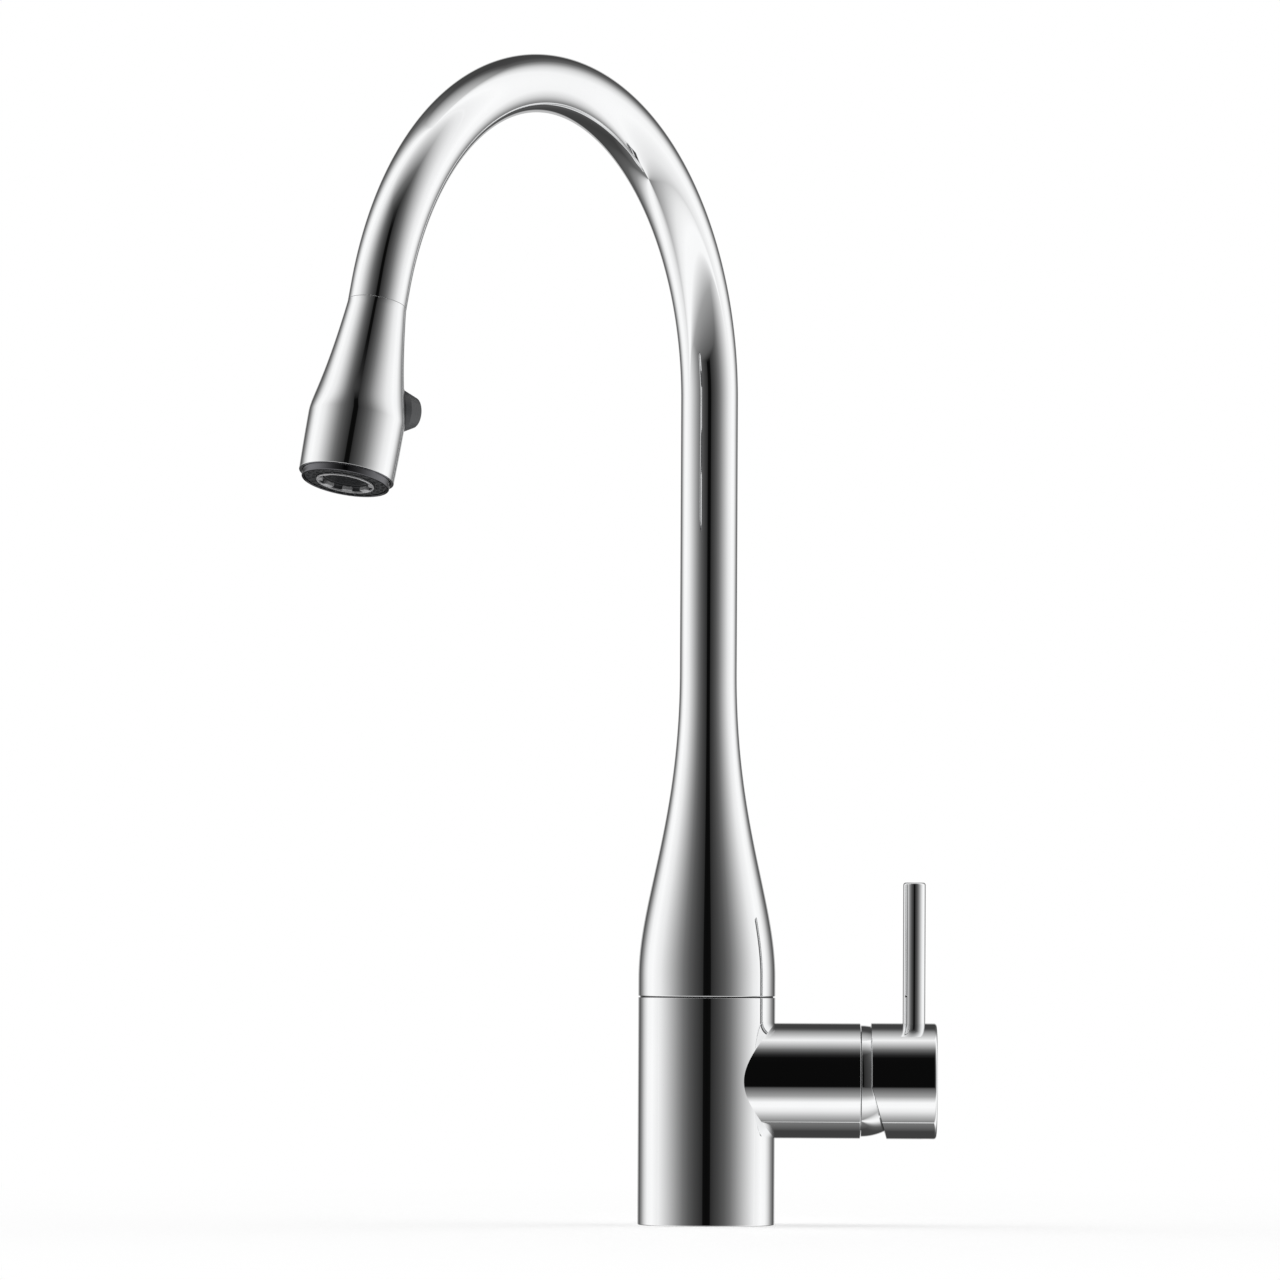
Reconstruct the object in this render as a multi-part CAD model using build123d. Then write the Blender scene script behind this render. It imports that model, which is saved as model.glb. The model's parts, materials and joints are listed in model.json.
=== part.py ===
from build123d import *
import math
import os

# A single-lever kitchen mixer tap with a pull-down spray head.
# Millimetres, +Z up. The origin is the centre of the column's foot, on the worktop's top face.
# The side lever is on +X. The spout swings about Z and points along -Y when it is straight ahead.

# ---- fits and gaps -------------------------------------------------------------------------
PRESS_GAP = 0.03  # radial gap of pieces that are pressed or screwed together
RUNNING_GAP = 0.06  # radial gap of a shaft that turns or slides in its bore
LOOSE_GAP = 0.3  # gap between neighbours that must never rub
FACE_GAP = 0.1  # gap between faces that seat on each other
CUT = 1.0  # how far a cutting shape runs past the face it opens
O_RING_R = 0.9

# ---- hose and tube: they set the bores of the column, spout and head ------------------------
HOSE_R = 6.0
HOSE_WALL = 2.0
HOSE_PLAY = 2.5  # room round the hose in the tube
HOSE_BORE_R = HOSE_R - HOSE_WALL
FERRULE_R = HOSE_R + 0.9
NIPPLE_R = HOSE_R - 0.2
INSERT_BORE_R = HOSE_BORE_R - 1.0
TUBE_WALL = 1.5
TUBE_BORE_R = HOSE_R + HOSE_PLAY
TUBE_R = TUBE_BORE_R + TUBE_WALL

# ---- column and its foot -------------------------------------------------------------------
COLUMN_R = 24.0
COLUMN_TOP = 79.65
COLUMN_WALL = 3.5
COLUMN_EDGE = 0.4
CAVITY_FLOOR = 14.0
CAVITY_TOP = 72.0
NECK_BORE_R = HOSE_R + 4.0
NECK_R = NECK_BORE_R + 4.0
NECK_HEIGHT = 24.0
SHANK_SOCKET_DEPTH = 12.0
SEAL_GROOVE_R = COLUMN_R - 3.0
SEAL_WIDTH = 3.0
SEAL_HEIGHT = 1.5

# ---- water pipes ---------------------------------------------------------------------------
PIPE_R = 3.5
PIPE_BORE_R = 2.5
PIPE_CIRCLE_R = HOSE_R + PIPE_R + 1.4
PIPE_SPREAD_R = 30.0
PIPE_FAN = 50.0  # angle between neighbouring pipes, seen from above
PIPE_BEND_R = 12.0
PIPE_BEND_TOP = -68.0
PIPE_BEND_FALL = 26.0
PIPE_END = -112.0
PIPE_SOCKET_DEPTH = 8.0
BLOCK_BOTTOM = 24.0
PORT_R = 2.5
INLET_RISE = 5.6
OUTLET_DROP = 7.4
UNION_FLATS = 19.0
UNION_HEX_HEIGHT = 7.0
UNION_THREAD_R = 8.3
UNION_THREAD_LENGTH = 10.0
UNION_GRIP = 9.0
COUPLER_R = NIPPLE_R + 2.7
COUPLER_LENGTH = 20.0

# ---- clamp under the worktop ---------------------------------------------------------------
SHANK_BORE_R = PIPE_CIRCLE_R + PIPE_R + LOOSE_GAP
SHANK_R = SHANK_BORE_R + 2.3
SHANK_LENGTH = 62.0
SPIGOT_R = SHANK_R + 0.3
SPIGOT_LENGTH = 5.0
DECK_THICKNESS = 30.0
GASKET_R = SHANK_R + 10.0
GASKET_HEIGHT = 3.0
WASHER_HEIGHT = 2.0
NUT_FLATS = 2 * SHANK_R + 12.0
NUT_HEIGHT = 8.0

# ---- lever side: boss, cartridge, dome, hub and rod ----------------------------------------
BOSS_R = COLUMN_R - 3.8
BOSS_END = 53.8
BOSS_Z = 50.6
BOSS_BORE_R = BOSS_R - 2.6
SEAT_X = 16.0
PIVOT_X = 54.0
CARTRIDGE_R = BOSS_BORE_R - LOOSE_GAP
CARTRIDGE_BASE = 3.4
SEAL_RING_R = 4.2
SEAL_RING_DEPTH = 1.5
DISC_BORE_R = CARTRIDGE_R - 3.0
FIXED_DISC_R = DISC_BORE_R - 0.8
DISC_HEIGHT = 3.5
MOVING_DISC_R = DISC_BORE_R - 3.1
DISC_POCKET_R = 7.5
DISC_POCKET_DEPTH = 1.5
DISC_POCKET_DROP = 0.9
CARRIER_PLATE = 3.3
CARRIER_CUP_R = 5.2
CARRIER_CUP_END = 40.5
BALL_R = 3.0
BALL_GAP = 0.2
LEG_R = 2.0
LEG_LENGTH = 15.0
FLANGE_X = 35.3
FLANGE_HEIGHT = 5.5
SHOULDER_X = FLANGE_X + FLANGE_HEIGHT + 0.2
NECK_BORE_X_R = 9.9
HOUSING_SHOULDER = SHOULDER_X + 2.0
HOUSING_NECK_R = NECK_BORE_X_R + 2.5
HOUSING_END = 53.0
ROTOR_END = 59.0
STEM_WIDTH = 8.0
STEM_SLOT = 9.4
STEM_EYE_R = 4.4
PIN_R = 1.5
PIN_LENGTH = 18.4
CARTRIDGE_NUT_X = HOUSING_SHOULDER + 0.2
CARTRIDGE_NUT_HEIGHT = 6.8
CARTRIDGE_NUT_SLOT = 4.0
DOME_R = BOSS_R - 0.7
DOME_WALL = 1.6
DOME_HOLE_R = 13.2
DOME_SKIRT_X = 50.3
HUB_R = DOME_R + 0.8
HUB_RIM_X = 57.6
HUB_RELIEF_X = 63.2
HUB_RELIEF_RISE = 1.4  # how far below the axis the relief at the rim starts
HUB_END = 80.6
HUB_EDGE = 1.0
HUB_CLEARANCE = 0.35
HUB_BOSS_R = 6.5
HUB_BOSS_X = 66.0
SOCKET_END = 79.0
GRUB_X = 77.2
GRUB_R = 2.0
GRUB_LENGTH = 6.0
ROD_X = 72.6
ROD_R = 3.95
ROD_TOP = 120.2
ROD_EDGE = 0.9
ROD_SEAT = 1.5
ROD_STUD_R = 2.5
ROD_STUD_LENGTH = 4.0
LEVER_LIFT = 20.0  # degrees the lever tilts from closed to full flow

# ---- spout ---------------------------------------------------------------------------------
SPOUT_HEADING = -123.0  # degrees from +X to the way the spout points at rest
SPOUT_STOP = 120.0  # degrees the spout can swing to each side of straight ahead
STRAIGHT_AHEAD = -90.0
ARCH_R = 105.0
ARCH_Z = 289.0
ARCH_TILT = 17.0  # degrees from the vertical at the arch's end
GLIDE_FLANGE = 0.35
GLIDE_FLANGE_R = COLUMN_R - 0.7
GLIDE_SLEEVE = 6.0
BELL_R = COLUMN_R
BELL_FOOT = COLUMN_TOP + GLIDE_FLANGE + 0.05
BELL_STRAIGHT_TOP = 86.5
BELL_LOWER_PULL = 27.5
BELL_TOP = 193.5
BELL_UPPER_PULL = 54.0
BELL_BORE_R = NECK_R + 2.45
BELL_BORE_TOP = COLUMN_TOP + NECK_HEIGHT + 1.35
BELL_CONE_TOP = 142.0
LOCK_Z = COLUMN_TOP + 10.35
LOCK_R = 2.5
LOCK_TIP_R = 2.0
LOCK_OUTER = BELL_R - 1.0
LOCK_SHOULDER = NECK_R + 2.0
GROOVE_R = NECK_R - 1.5
UPPER_GLIDE_Z = LOCK_Z + 4.0
UPPER_GLIDE_HEIGHT = 8.0

# ---- spray head (lengths from the lip up along the head's own axis) -------------------------
HEAD_LENGTH = 61.0
SPOUT_END_RUN = 6.5  # straight end of the tube below the arch
HEAD_TURN = -27.0  # degrees the head is turned on its hose at rest
HEAD_TOP_R = TUBE_R
HEAD_R = 16.35
HEAD_LIP_R = HEAD_R - 0.25
HEAD_BELLY = 20.0
HEAD_UPPER_PULL_R = 3.2
HEAD_UPPER_PULL = 30.0
HEAD_LOWER_PULL = 5.4
HEAD_NECK_BORE_R = HEAD_TOP_R - 2.0
HEAD_NECK_BORE = 51.0
HEAD_CONE_END = 20.0
HEAD_BORE_R = HEAD_R - 2.45
HEAD_MOUTH_R = HEAD_R - 1.3
HEAD_MOUTH = 3.0
COLLAR_BORE_R = TUBE_BORE_R - 0.7
COLLAR_LENGTH = 6.0
SPIGOT_BORE_R = HOSE_R + 0.35
DOCK_RISE = 7.0
HOSE_FOOT = -75.0
HOSE_END = 40.0
FERRULE_TOP = 49.5
INSERT_FLANGE = 1.9
HOSE_NUT_FLATS = 2 * FERRULE_R + 1.8
HOSE_NUT_TOP = 44.0
HOSE_NUT_FOOT = 33.0
INLET_TOP = 36.0
WATERWAY_R = HEAD_BORE_R - 2.4
WATERWAY_TOP = 29.5
WATERWAY_FOOT = 4.0
VALVE_R = FERRULE_R - 1.5
VALVE_WALL = 1.4
VALVE_FOOT = 30.4
VALVE_HEIGHT = 5.2
POPPET_HEIGHT = 2.0
CORE_BORE_R = 3.6
LOWER_FITTING_LENGTH = 20.0
CRIMP_LENGTH = 10.0
FITTING_FLANGE = 3.0

# ---- button on the spray head ---------------------------------------------------------------
BUTTON_S = 24.6  # where the button's axis crosses the head's axis
BUTTON_RISE = 11.5  # degrees the button's axis climbs from square to the head's axis
BUTTON_FACE = 21.6
BUTTON_FACE_R = 5.0
BUTTON_SKIRT_R = 7.2
BUTTON_SKIRT = 14.0
BUTTON_WALL = 1.4
BEZEL_R = BUTTON_SKIRT_R + 1.0
BEZEL_FRONT = 16.4
BEZEL_BACK = HOSE_NUT_FLATS / 2 + 4.1
SPOOL_R = 4.4
SPOOL_BORE_R = SPOOL_R + RUNNING_GAP
SPOOL_LENGTH = 10.0
SPOOL_INNER = -5.0
SPOOL_GROOVE = 1.4
SPOOL_WAIST = 2.0
STALK_R = 1.5
SPRING_R = 5.1
SPRING_WIRE_R = 0.35
SPRING_TURNS = 4
SPRING_TOP = BEZEL_FRONT - 0.2
SPRING_SEAT = 9.2
BORE_INNER = -9.0
HOLE_START = 2.0  # where the hole for the bezel starts, past the head's own axis

# ---- spray face ------------------------------------------------------------------------------
NOZZLE_RING_R = HEAD_MOUTH_R - 0.15
NOZZLE_RING_DROP = 2.3
NOZZLE_RING_WALL = 0.9
FACE_R = NOZZLE_RING_R - NOZZLE_RING_WALL - FACE_GAP
FACE_DROP = 1.7
FACE_THICKNESS = 3.0
NUB_R = 0.55
NUB_DROP = 0.5
NUB_CIRCLES = ((11.0, 20), (12.7, 24))
CASTLE_R = 9.8
CASTLE_BORE_R = CASTLE_R - 1.9
FACE_HOLE_R = CASTLE_R + FACE_GAP
CASTLE_DROP = 2.6
CASTLE_SLOT_DEPTH = 1.5
CASTLE_SLOTS = 8
CASTLE_SLOT_SHARE = 0.45
MESH_R = CASTLE_BORE_R - FACE_GAP
MESH_DROP = 0.6
MESH_THICKNESS = 2.0
MESH_HOLE_R = 0.75
MESH_PITCH = 2.1
MESH_RINGS = 3


def place_of_boss():
    """The frame of the lever side: local +Z runs out along +X from the column's axis."""
    return Pos(0, 0, BOSS_Z) * Rot(0, 90, 0)


def spout_frame():
    """The frame of the spout's own plane: local +X is the way the spout points."""
    return Rot(0, 0, SPOUT_HEADING)


def head_frame():
    """The frame of the spray head: origin at the lip's centre, local +Z up the head's axis."""
    tilt = math.radians(ARCH_TILT)
    run = SPOUT_END_RUN + HEAD_LENGTH
    reach = ARCH_R + ARCH_R * math.cos(tilt) + run * math.sin(tilt)
    height = ARCH_Z + ARCH_R * math.sin(tilt) - run * math.cos(tilt)
    return spout_frame() * Pos(reach, 0, height) * Rot(0, -ARCH_TILT, 0) * Rot(0, 0, HEAD_TURN)


def button_frame():
    """The frame of the button: local +Z runs out of the head along the button's travel."""
    return head_frame() * Pos(0, 0, BUTTON_S) * Rot(0, BUTTON_RISE - 90, 0)


def rod(radius, low, high):
    """A cylinder about Z from one height to another."""
    return Pos(0, 0, (low + high) / 2) * Cylinder(radius, high - low)


def sleeve(outer, inner, low, high):
    """A plain ring about Z."""
    return rod(outer, low, high) - rod(inner, low - CUT, high + CUT)


def lathe(*points):
    """A solid turned about Z from its half section, given as (radius, height) points."""
    return revolve(Plane.XZ * make_face(Polyline(*points, close=True)), Axis.Z)


def hexagon_bar(flats, low, high):
    """A hexagonal bar about Z, given by its size across the flats."""
    outline = RegularPolygon(flats / 2, 6, major_radius=False)
    return Pos(0, 0, low) * extrude(outline, high - low)


def slab(width_x, width_y, low, high):
    """A block centred on Z."""
    return Pos(0, 0, (low + high) / 2) * Box(width_x, width_y, high - low)


def thicken(path, radius):
    """A round bar along a path."""
    start = path @ 0
    return sweep(Plane(origin=start, z_dir=path % 0) * Circle(radius), path=path)


def gooseneck_path(foot, end_run):
    """The spout's centre line: up from a height, over the arch and down a straight end."""
    tilt = math.radians(ARCH_TILT)
    arch = CenterArc((ARCH_R, ARCH_Z), ARCH_R, 180, ARCH_TILT - 180)
    last = arch @ 1
    end = last + Vector(end_run * math.sin(tilt), -end_run * math.cos(tilt))
    rise = Line((0, foot), (0, ARCH_Z))
    drop = Line(last, end)
    return Plane.XZ * Wire([rise, arch, drop])


# ---- column ---------------------------------------------------------------------------------
def pipe_angles():
    """Where the cold, outlet and hot pipes stand round the column's axis, in degrees."""
    return {"cold": -PIPE_FAN, "outlet": 0.0, "hot": PIPE_FAN}


def port_height(kind):
    """The height of a pipe's port on the cartridge's seat."""
    return BOSS_Z - OUTLET_DROP if kind == "outlet" else BOSS_Z + INLET_RISE


def passage(kind, angle):
    """The drilled way from a pipe's socket up and out to the cartridge's seat."""
    turn = math.radians(angle)
    x, y = PIPE_CIRCLE_R * math.cos(turn), PIPE_CIRCLE_R * math.sin(turn)
    height = port_height(kind)
    socket = rod(PIPE_R + PRESS_GAP, BLOCK_BOTTOM - CUT, BLOCK_BOTTOM + PIPE_SOCKET_DEPTH)
    riser = rod(PORT_R, BLOCK_BOTTOM, height)
    run = SEAT_X + CUT - x
    across = Pos(x + run / 2, y, height) * Rot(0, 90, 0) * Cylinder(PORT_R, run)
    return Pos(x, y, 0) * (socket + riser) + across


def column_cavity():
    """The hollow of the column: round at the foot, and beside the block higher up."""
    bore = rod(COLUMN_R - COLUMN_WALL, CAVITY_FLOOR, CAVITY_TOP)
    block = Pos(COLUMN_R / 2, 0, 0) * slab(COLUMN_R, 2 * COLUMN_R, BLOCK_BOTTOM, CAVITY_TOP + CUT)
    channel = rod(HOSE_R + 2 * LOOSE_GAP, CAVITY_FLOOR, COLUMN_TOP)
    return bore - block + channel


def swivel_groove():
    """The groove round the neck that the lock screw runs in, cut short by its two stops."""
    half = SPOUT_STOP + math.degrees(math.asin((LOCK_TIP_R + LOOSE_GAP) / GROOVE_R))
    width = 2 * (LOCK_TIP_R + LOOSE_GAP)
    depth = NECK_R + CUT - GROOVE_R
    profile = Pos(GROOVE_R + depth / 2, 0, LOCK_Z) * Rot(90, 0, 0) * Rectangle(depth, width)
    return Rot(0, 0, STRAIGHT_AHEAD + 180 - half) * revolve(profile, Axis.Z, revolution_arc=2 * half)


def column_body():
    """The brass body: foot, column, side boss and the neck that the spout turns on."""
    shell = rod(COLUMN_R, 0, COLUMN_TOP)
    shell = chamfer(shell.edges().group_by(Axis.Z)[0], COLUMN_EDGE)
    body = shell + rod(NECK_R, COLUMN_TOP - CUT, COLUMN_TOP + NECK_HEIGHT)
    body += place_of_boss() * rod(BOSS_R, 0, BOSS_END)
    body -= column_cavity()
    body -= rod(NECK_BORE_R, CAVITY_TOP - CUT, COLUMN_TOP + NECK_HEIGHT + CUT)
    body -= rod(SHANK_R + PRESS_GAP, -CUT, SHANK_SOCKET_DEPTH)
    body -= rod(SHANK_BORE_R, 0, CAVITY_FLOOR + CUT)
    body -= sleeve(SEAL_GROOVE_R + SEAL_WIDTH / 2, SEAL_GROOVE_R - SEAL_WIDTH / 2, -CUT, SEAL_HEIGHT)
    body -= place_of_boss() * rod(BOSS_BORE_R, SEAT_X, BOSS_END + CUT)
    body -= swivel_groove()
    for kind, angle in pipe_angles().items():
        body -= passage(kind, angle)
    return body


def foot_seal():
    """The rubber ring in the foot's groove."""
    half = SEAL_WIDTH / 2 - PRESS_GAP
    return sleeve(SEAL_GROOVE_R + half, SEAL_GROOVE_R - half, 0, SEAL_HEIGHT - PRESS_GAP)


# ---- clamp under the worktop ----------------------------------------------------------------
def threaded_shank():
    """The threaded tube through the worktop, with the collar that centres it in the hole."""
    tube = sleeve(SHANK_R, SHANK_BORE_R, -SHANK_LENGTH, SHANK_SOCKET_DEPTH - FACE_GAP)
    return tube + sleeve(SPIGOT_R, SHANK_BORE_R, -SPIGOT_LENGTH, 0)


def deck_gasket():
    """The rubber washer against the worktop's underside."""
    return sleeve(GASKET_R, SHANK_R + LOOSE_GAP, -DECK_THICKNESS - GASKET_HEIGHT, -DECK_THICKNESS)


def clamp_washer():
    """The steel washer below the rubber one."""
    top = -DECK_THICKNESS - GASKET_HEIGHT - PRESS_GAP
    return sleeve(GASKET_R, SHANK_R + LOOSE_GAP, top - WASHER_HEIGHT, top)


def clamp_nut():
    """The hexagonal nut on the shank."""
    top = -DECK_THICKNESS - GASKET_HEIGHT - WASHER_HEIGHT - 2 * PRESS_GAP
    nut = hexagon_bar(NUT_FLATS, top - NUT_HEIGHT, top)
    return nut - rod(SHANK_R + PRESS_GAP, top - NUT_HEIGHT - CUT, top + CUT)


# ---- water pipes ----------------------------------------------------------------------------
def water_pipe(angle):
    """A copper pipe from its socket down through the shank, then splayed outwards."""
    top = BLOCK_BOTTOM + PIPE_SOCKET_DEPTH - FACE_GAP
    low = PIPE_BEND_TOP - PIPE_BEND_FALL
    points = [(PIPE_CIRCLE_R, top), (PIPE_CIRCLE_R, PIPE_BEND_TOP), (PIPE_SPREAD_R, low)]
    points.append((PIPE_SPREAD_R, PIPE_END))
    path = Plane.XZ * FilletPolyline(*points, radius=PIPE_BEND_R)
    return Rot(0, 0, angle) * (thicken(path, PIPE_R) - thicken(path, PIPE_BORE_R))


def pipe_foot(angle):
    """The frame of a pipe's lower end."""
    return Rot(0, 0, angle) * Pos(PIPE_SPREAD_R, 0, PIPE_END)


def union(angle):
    """A threaded end for a supply hose: a hexagon above and a male thread below."""
    body = hexagon_bar(UNION_FLATS, 0, UNION_HEX_HEIGHT)
    body += rod(UNION_THREAD_R, -UNION_THREAD_LENGTH, 0)
    body -= rod(PIPE_R + PRESS_GAP, 0, UNION_GRIP)
    body -= rod(PIPE_BORE_R, -UNION_THREAD_LENGTH - CUT, CUT)
    return pipe_foot(angle) * body


def outlet_coupler(angle):
    """The push-in socket that the lower end of the spray hose plugs into."""
    body = rod(COUPLER_R, -COUPLER_LENGTH, UNION_HEX_HEIGHT)
    body -= rod(PIPE_R + PRESS_GAP, 0, UNION_GRIP)
    body -= rod(PIPE_BORE_R, -CUT, CUT)
    body -= rod(NIPPLE_R + RUNNING_GAP, -COUPLER_LENGTH - CUT, -CUT)
    return pipe_foot(angle) * body


# ---- cartridge ------------------------------------------------------------------------------
def port_places():
    """The three ports of the cartridge's seat, in the boss's frame."""
    places = []
    for kind, angle in pipe_angles().items():
        turn = math.radians(angle)
        places.append(Pos(BOSS_Z - port_height(kind), PIPE_CIRCLE_R * math.sin(turn), 0))
    return places


def cartridge_base():
    """The plate that closes the cartridge and carries its three port seals."""
    plate = rod(CARTRIDGE_R, SEAT_X + PRESS_GAP, SEAT_X + CARTRIDGE_BASE)
    for place in port_places():
        plate -= place * rod(PORT_R, SEAT_X - CUT, SEAT_X + CARTRIDGE_BASE + CUT)
        plate -= place * rod(SEAL_RING_R, SEAT_X - CUT, SEAT_X + SEAL_RING_DEPTH)
    return place_of_boss() * plate


def cartridge_port_seals():
    """Three rubber rings between the cartridge and its seat."""
    ring = sleeve(SEAL_RING_R - PRESS_GAP, PORT_R, SEAT_X + PRESS_GAP, SEAT_X + SEAL_RING_DEPTH - PRESS_GAP)
    return place_of_boss() * Compound([place * ring for place in port_places()])


def cartridge_housing():
    """The cartridge's body: a wide bore for the discs and a neck for the rotor."""
    base = SEAT_X + CARTRIDGE_BASE + PRESS_GAP
    return place_of_boss() * lathe(
        (DISC_BORE_R, base),
        (CARTRIDGE_R, base),
        (CARTRIDGE_R, HOUSING_SHOULDER),
        (HOUSING_NECK_R, HOUSING_SHOULDER),
        (HOUSING_NECK_R, HOUSING_END),
        (NECK_BORE_X_R, HOUSING_END),
        (NECK_BORE_X_R, SHOULDER_X),
        (DISC_BORE_R, SHOULDER_X),
    )


def fixed_disc_face():
    """Where the fixed disc's sliding face lies along the boss."""
    return SEAT_X + CARTRIDGE_BASE + PRESS_GAP + DISC_HEIGHT


def fixed_ceramic_disc():
    """The lower ceramic disc, with one hole for each port."""
    disc = rod(FIXED_DISC_R, fixed_disc_face() - DISC_HEIGHT, fixed_disc_face())
    for place in port_places():
        disc -= place * rod(PORT_R, 0, BOSS_END)
    return place_of_boss() * disc


def disc_travel():
    """How far the moving disc slides as the lever lifts."""
    return LEG_LENGTH * math.radians(LEVER_LIFT)


def disc_frame():
    """The moving disc's frame with the tap closed: half its travel below the axis."""
    return place_of_boss() * Pos(disc_travel() / 2, 0, 0)


def moving_ceramic_disc():
    """The upper ceramic disc, with the pocket that joins the ports."""
    low = fixed_disc_face() + FACE_GAP
    disc = rod(MOVING_DISC_R, low, low + DISC_HEIGHT)
    pocket = Pos(DISC_POCKET_DROP, 0, 0) * rod(DISC_POCKET_R, low - CUT, low + DISC_POCKET_DEPTH)
    return disc_frame() * (disc - pocket)


def disc_carrier():
    """The plastic carrier on the moving disc, with the cup that the stem's ball drives."""
    low = fixed_disc_face() + FACE_GAP + DISC_HEIGHT + PRESS_GAP
    plate = disc_frame() * rod(MOVING_DISC_R, low, low + CARRIER_PLATE)
    cup = place_of_boss() * rod(CARRIER_CUP_R, low + CUT, CARRIER_CUP_END)
    ball_x = PIVOT_X - LEG_LENGTH
    hole = place_of_boss() * rod(BALL_R + BALL_GAP, ball_x - BALL_R - BALL_GAP, CARRIER_CUP_END + CUT)
    return plate + cup - hole


def cartridge_rotor():
    """The part that turns for temperature: a flange round the cup and two cheeks for the stem."""
    flange_end = FLANGE_X + FLANGE_HEIGHT
    cup_width = 2 * (CARRIER_CUP_R + FACE_GAP)
    flange = rod(DISC_BORE_R - LOOSE_GAP, FLANGE_X, flange_end)
    flange -= slab(cup_width + 2 * disc_travel(), cup_width, FLANGE_X - CUT, flange_end + CUT)
    neck = rod(NECK_BORE_X_R - RUNNING_GAP, flange_end - FACE_GAP, ROTOR_END)
    neck -= slab(4 * NECK_BORE_X_R, STEM_SLOT, FLANGE_X, ROTOR_END + CUT)
    neck -= slab(4 * NECK_BORE_X_R, cup_width, FLANGE_X, CARRIER_CUP_END + LOOSE_GAP)
    rotor = flange + neck
    rotor -= Pos(0, 0, PIVOT_X) * Rot(90, 0, 0) * Cylinder(PIN_R + PRESS_GAP, 4 * NECK_BORE_X_R)
    return place_of_boss() * rotor


def stem_pivot_pin():
    """The steel pin that the stem tilts on."""
    return place_of_boss() * Pos(0, 0, PIVOT_X) * Rot(90, 0, 0) * Cylinder(PIN_R, PIN_LENGTH)


def cartridge_stem():
    """The lever's stem: a ball and leg inside, an eye for the pin, a square bar outside."""
    ball_x = PIVOT_X - LEG_LENGTH
    stem = Pos(0, 0, ball_x) * Sphere(BALL_R)
    stem += rod(LEG_R, ball_x, PIVOT_X)
    stem += Pos(0, 0, PIVOT_X) * Rot(90, 0, 0) * Cylinder(STEM_EYE_R, STEM_WIDTH)
    stem += slab(STEM_WIDTH, STEM_WIDTH, PIVOT_X, SOCKET_END - LOOSE_GAP)
    stem -= Pos(0, 0, PIVOT_X) * Rot(90, 0, 0) * Cylinder(PIN_R + RUNNING_GAP, STEM_WIDTH + 2 * CUT)
    return place_of_boss() * stem


def cartridge_nut():
    """The slotted ring that holds the cartridge down in the boss."""
    high = CARTRIDGE_NUT_X + CARTRIDGE_NUT_HEIGHT
    nut = sleeve(BOSS_BORE_R - PRESS_GAP, HOUSING_NECK_R + 2 * PRESS_GAP, CARTRIDGE_NUT_X, high)
    for angle in (0, 90):
        slot = slab(3 * BOSS_R, CARTRIDGE_NUT_SLOT, high - CARTRIDGE_NUT_HEIGHT / 3, high + CUT)
        nut -= Rot(0, 0, angle) * slot
    return place_of_boss() * nut


def dome_cover():
    """The polished dome over the cartridge, a zone of a sphere about the lever's pivot."""
    hollow = DOME_R - DOME_WALL
    skirt_r = BOSS_BORE_R - PRESS_GAP
    dome = Sphere(DOME_R) - Sphere(hollow)
    dome -= slab(4 * DOME_R, 4 * DOME_R, -2 * DOME_R, FACE_GAP)
    dome -= rod(DOME_HOLE_R, 0, 2 * DOME_R)
    dome = Pos(0, 0, PIVOT_X) * dome
    dome += sleeve(skirt_r, skirt_r - DOME_WALL, DOME_SKIRT_X, PIVOT_X + DOME_WALL)
    dome += sleeve(DOME_R - DOME_WALL / 2, skirt_r - DOME_WALL, PIVOT_X + FACE_GAP, PIVOT_X + DOME_WALL)
    return place_of_boss() * dome


# ---- lever ----------------------------------------------------------------------------------
def hub_relief():
    """The wedge cut from the hub's rim below the axis, so that the hub clears the boss as it tilts."""
    edge = make_face(
        Polyline(
            (HUB_RELIEF_RISE, HUB_RIM_X),
            (HUB_R, HUB_RELIEF_X),
            (2 * HUB_R, HUB_RELIEF_X + (HUB_RELIEF_X - HUB_RIM_X)),
            (2 * HUB_R, HUB_RIM_X - CUT),
            (HUB_RELIEF_RISE, HUB_RIM_X - CUT),
            close=True,
        )
    )
    return extrude(Plane.XZ * edge, 2 * HUB_R, both=True)


def lever_hub():
    """The round hub over the dome, hollow inside, with a square socket for the stem."""
    hub = rod(HUB_R, HUB_RIM_X, HUB_END)
    hub = fillet(hub.edges().group_by(Axis.Z)[-1], HUB_EDGE)
    hub -= Pos(0, 0, PIVOT_X) * Sphere(DOME_R + HUB_CLEARANCE)
    hub -= hub_relief()
    hub += rod(HUB_BOSS_R, HUB_BOSS_X, HUB_END - HUB_EDGE)
    width = STEM_WIDTH + 2 * PRESS_GAP
    hub -= slab(width, width, HUB_BOSS_X - CUT, SOCKET_END)
    hub -= Pos(HUB_R / 2, 0, GRUB_X) * Rot(0, 90, 0) * Cylinder(GRUB_R + PRESS_GAP, HUB_R)
    seat = HUB_R - ROD_SEAT
    hub -= Pos(-seat, 0, ROD_X) * Rot(0, -90, 0) * rod(ROD_R + PRESS_GAP, 0, HUB_R)
    stud = ROD_STUD_LENGTH + FACE_GAP
    hub -= Pos(-seat, 0, ROD_X) * Rot(0, -90, 0) * rod(ROD_STUD_R + PRESS_GAP, -stud, CUT)
    return place_of_boss() * hub


def lever_rod():
    """The lever itself: a slim round rod with a softened tip and a threaded stud below."""
    seat = BOSS_Z + HUB_R - ROD_SEAT
    bar = rod(ROD_R, seat, ROD_TOP)
    bar = fillet(bar.edges().group_by(Axis.Z)[-1], ROD_EDGE)
    return Pos(ROD_X, 0, 0) * (bar + rod(ROD_STUD_R, seat - ROD_STUD_LENGTH, seat + CUT))


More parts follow.
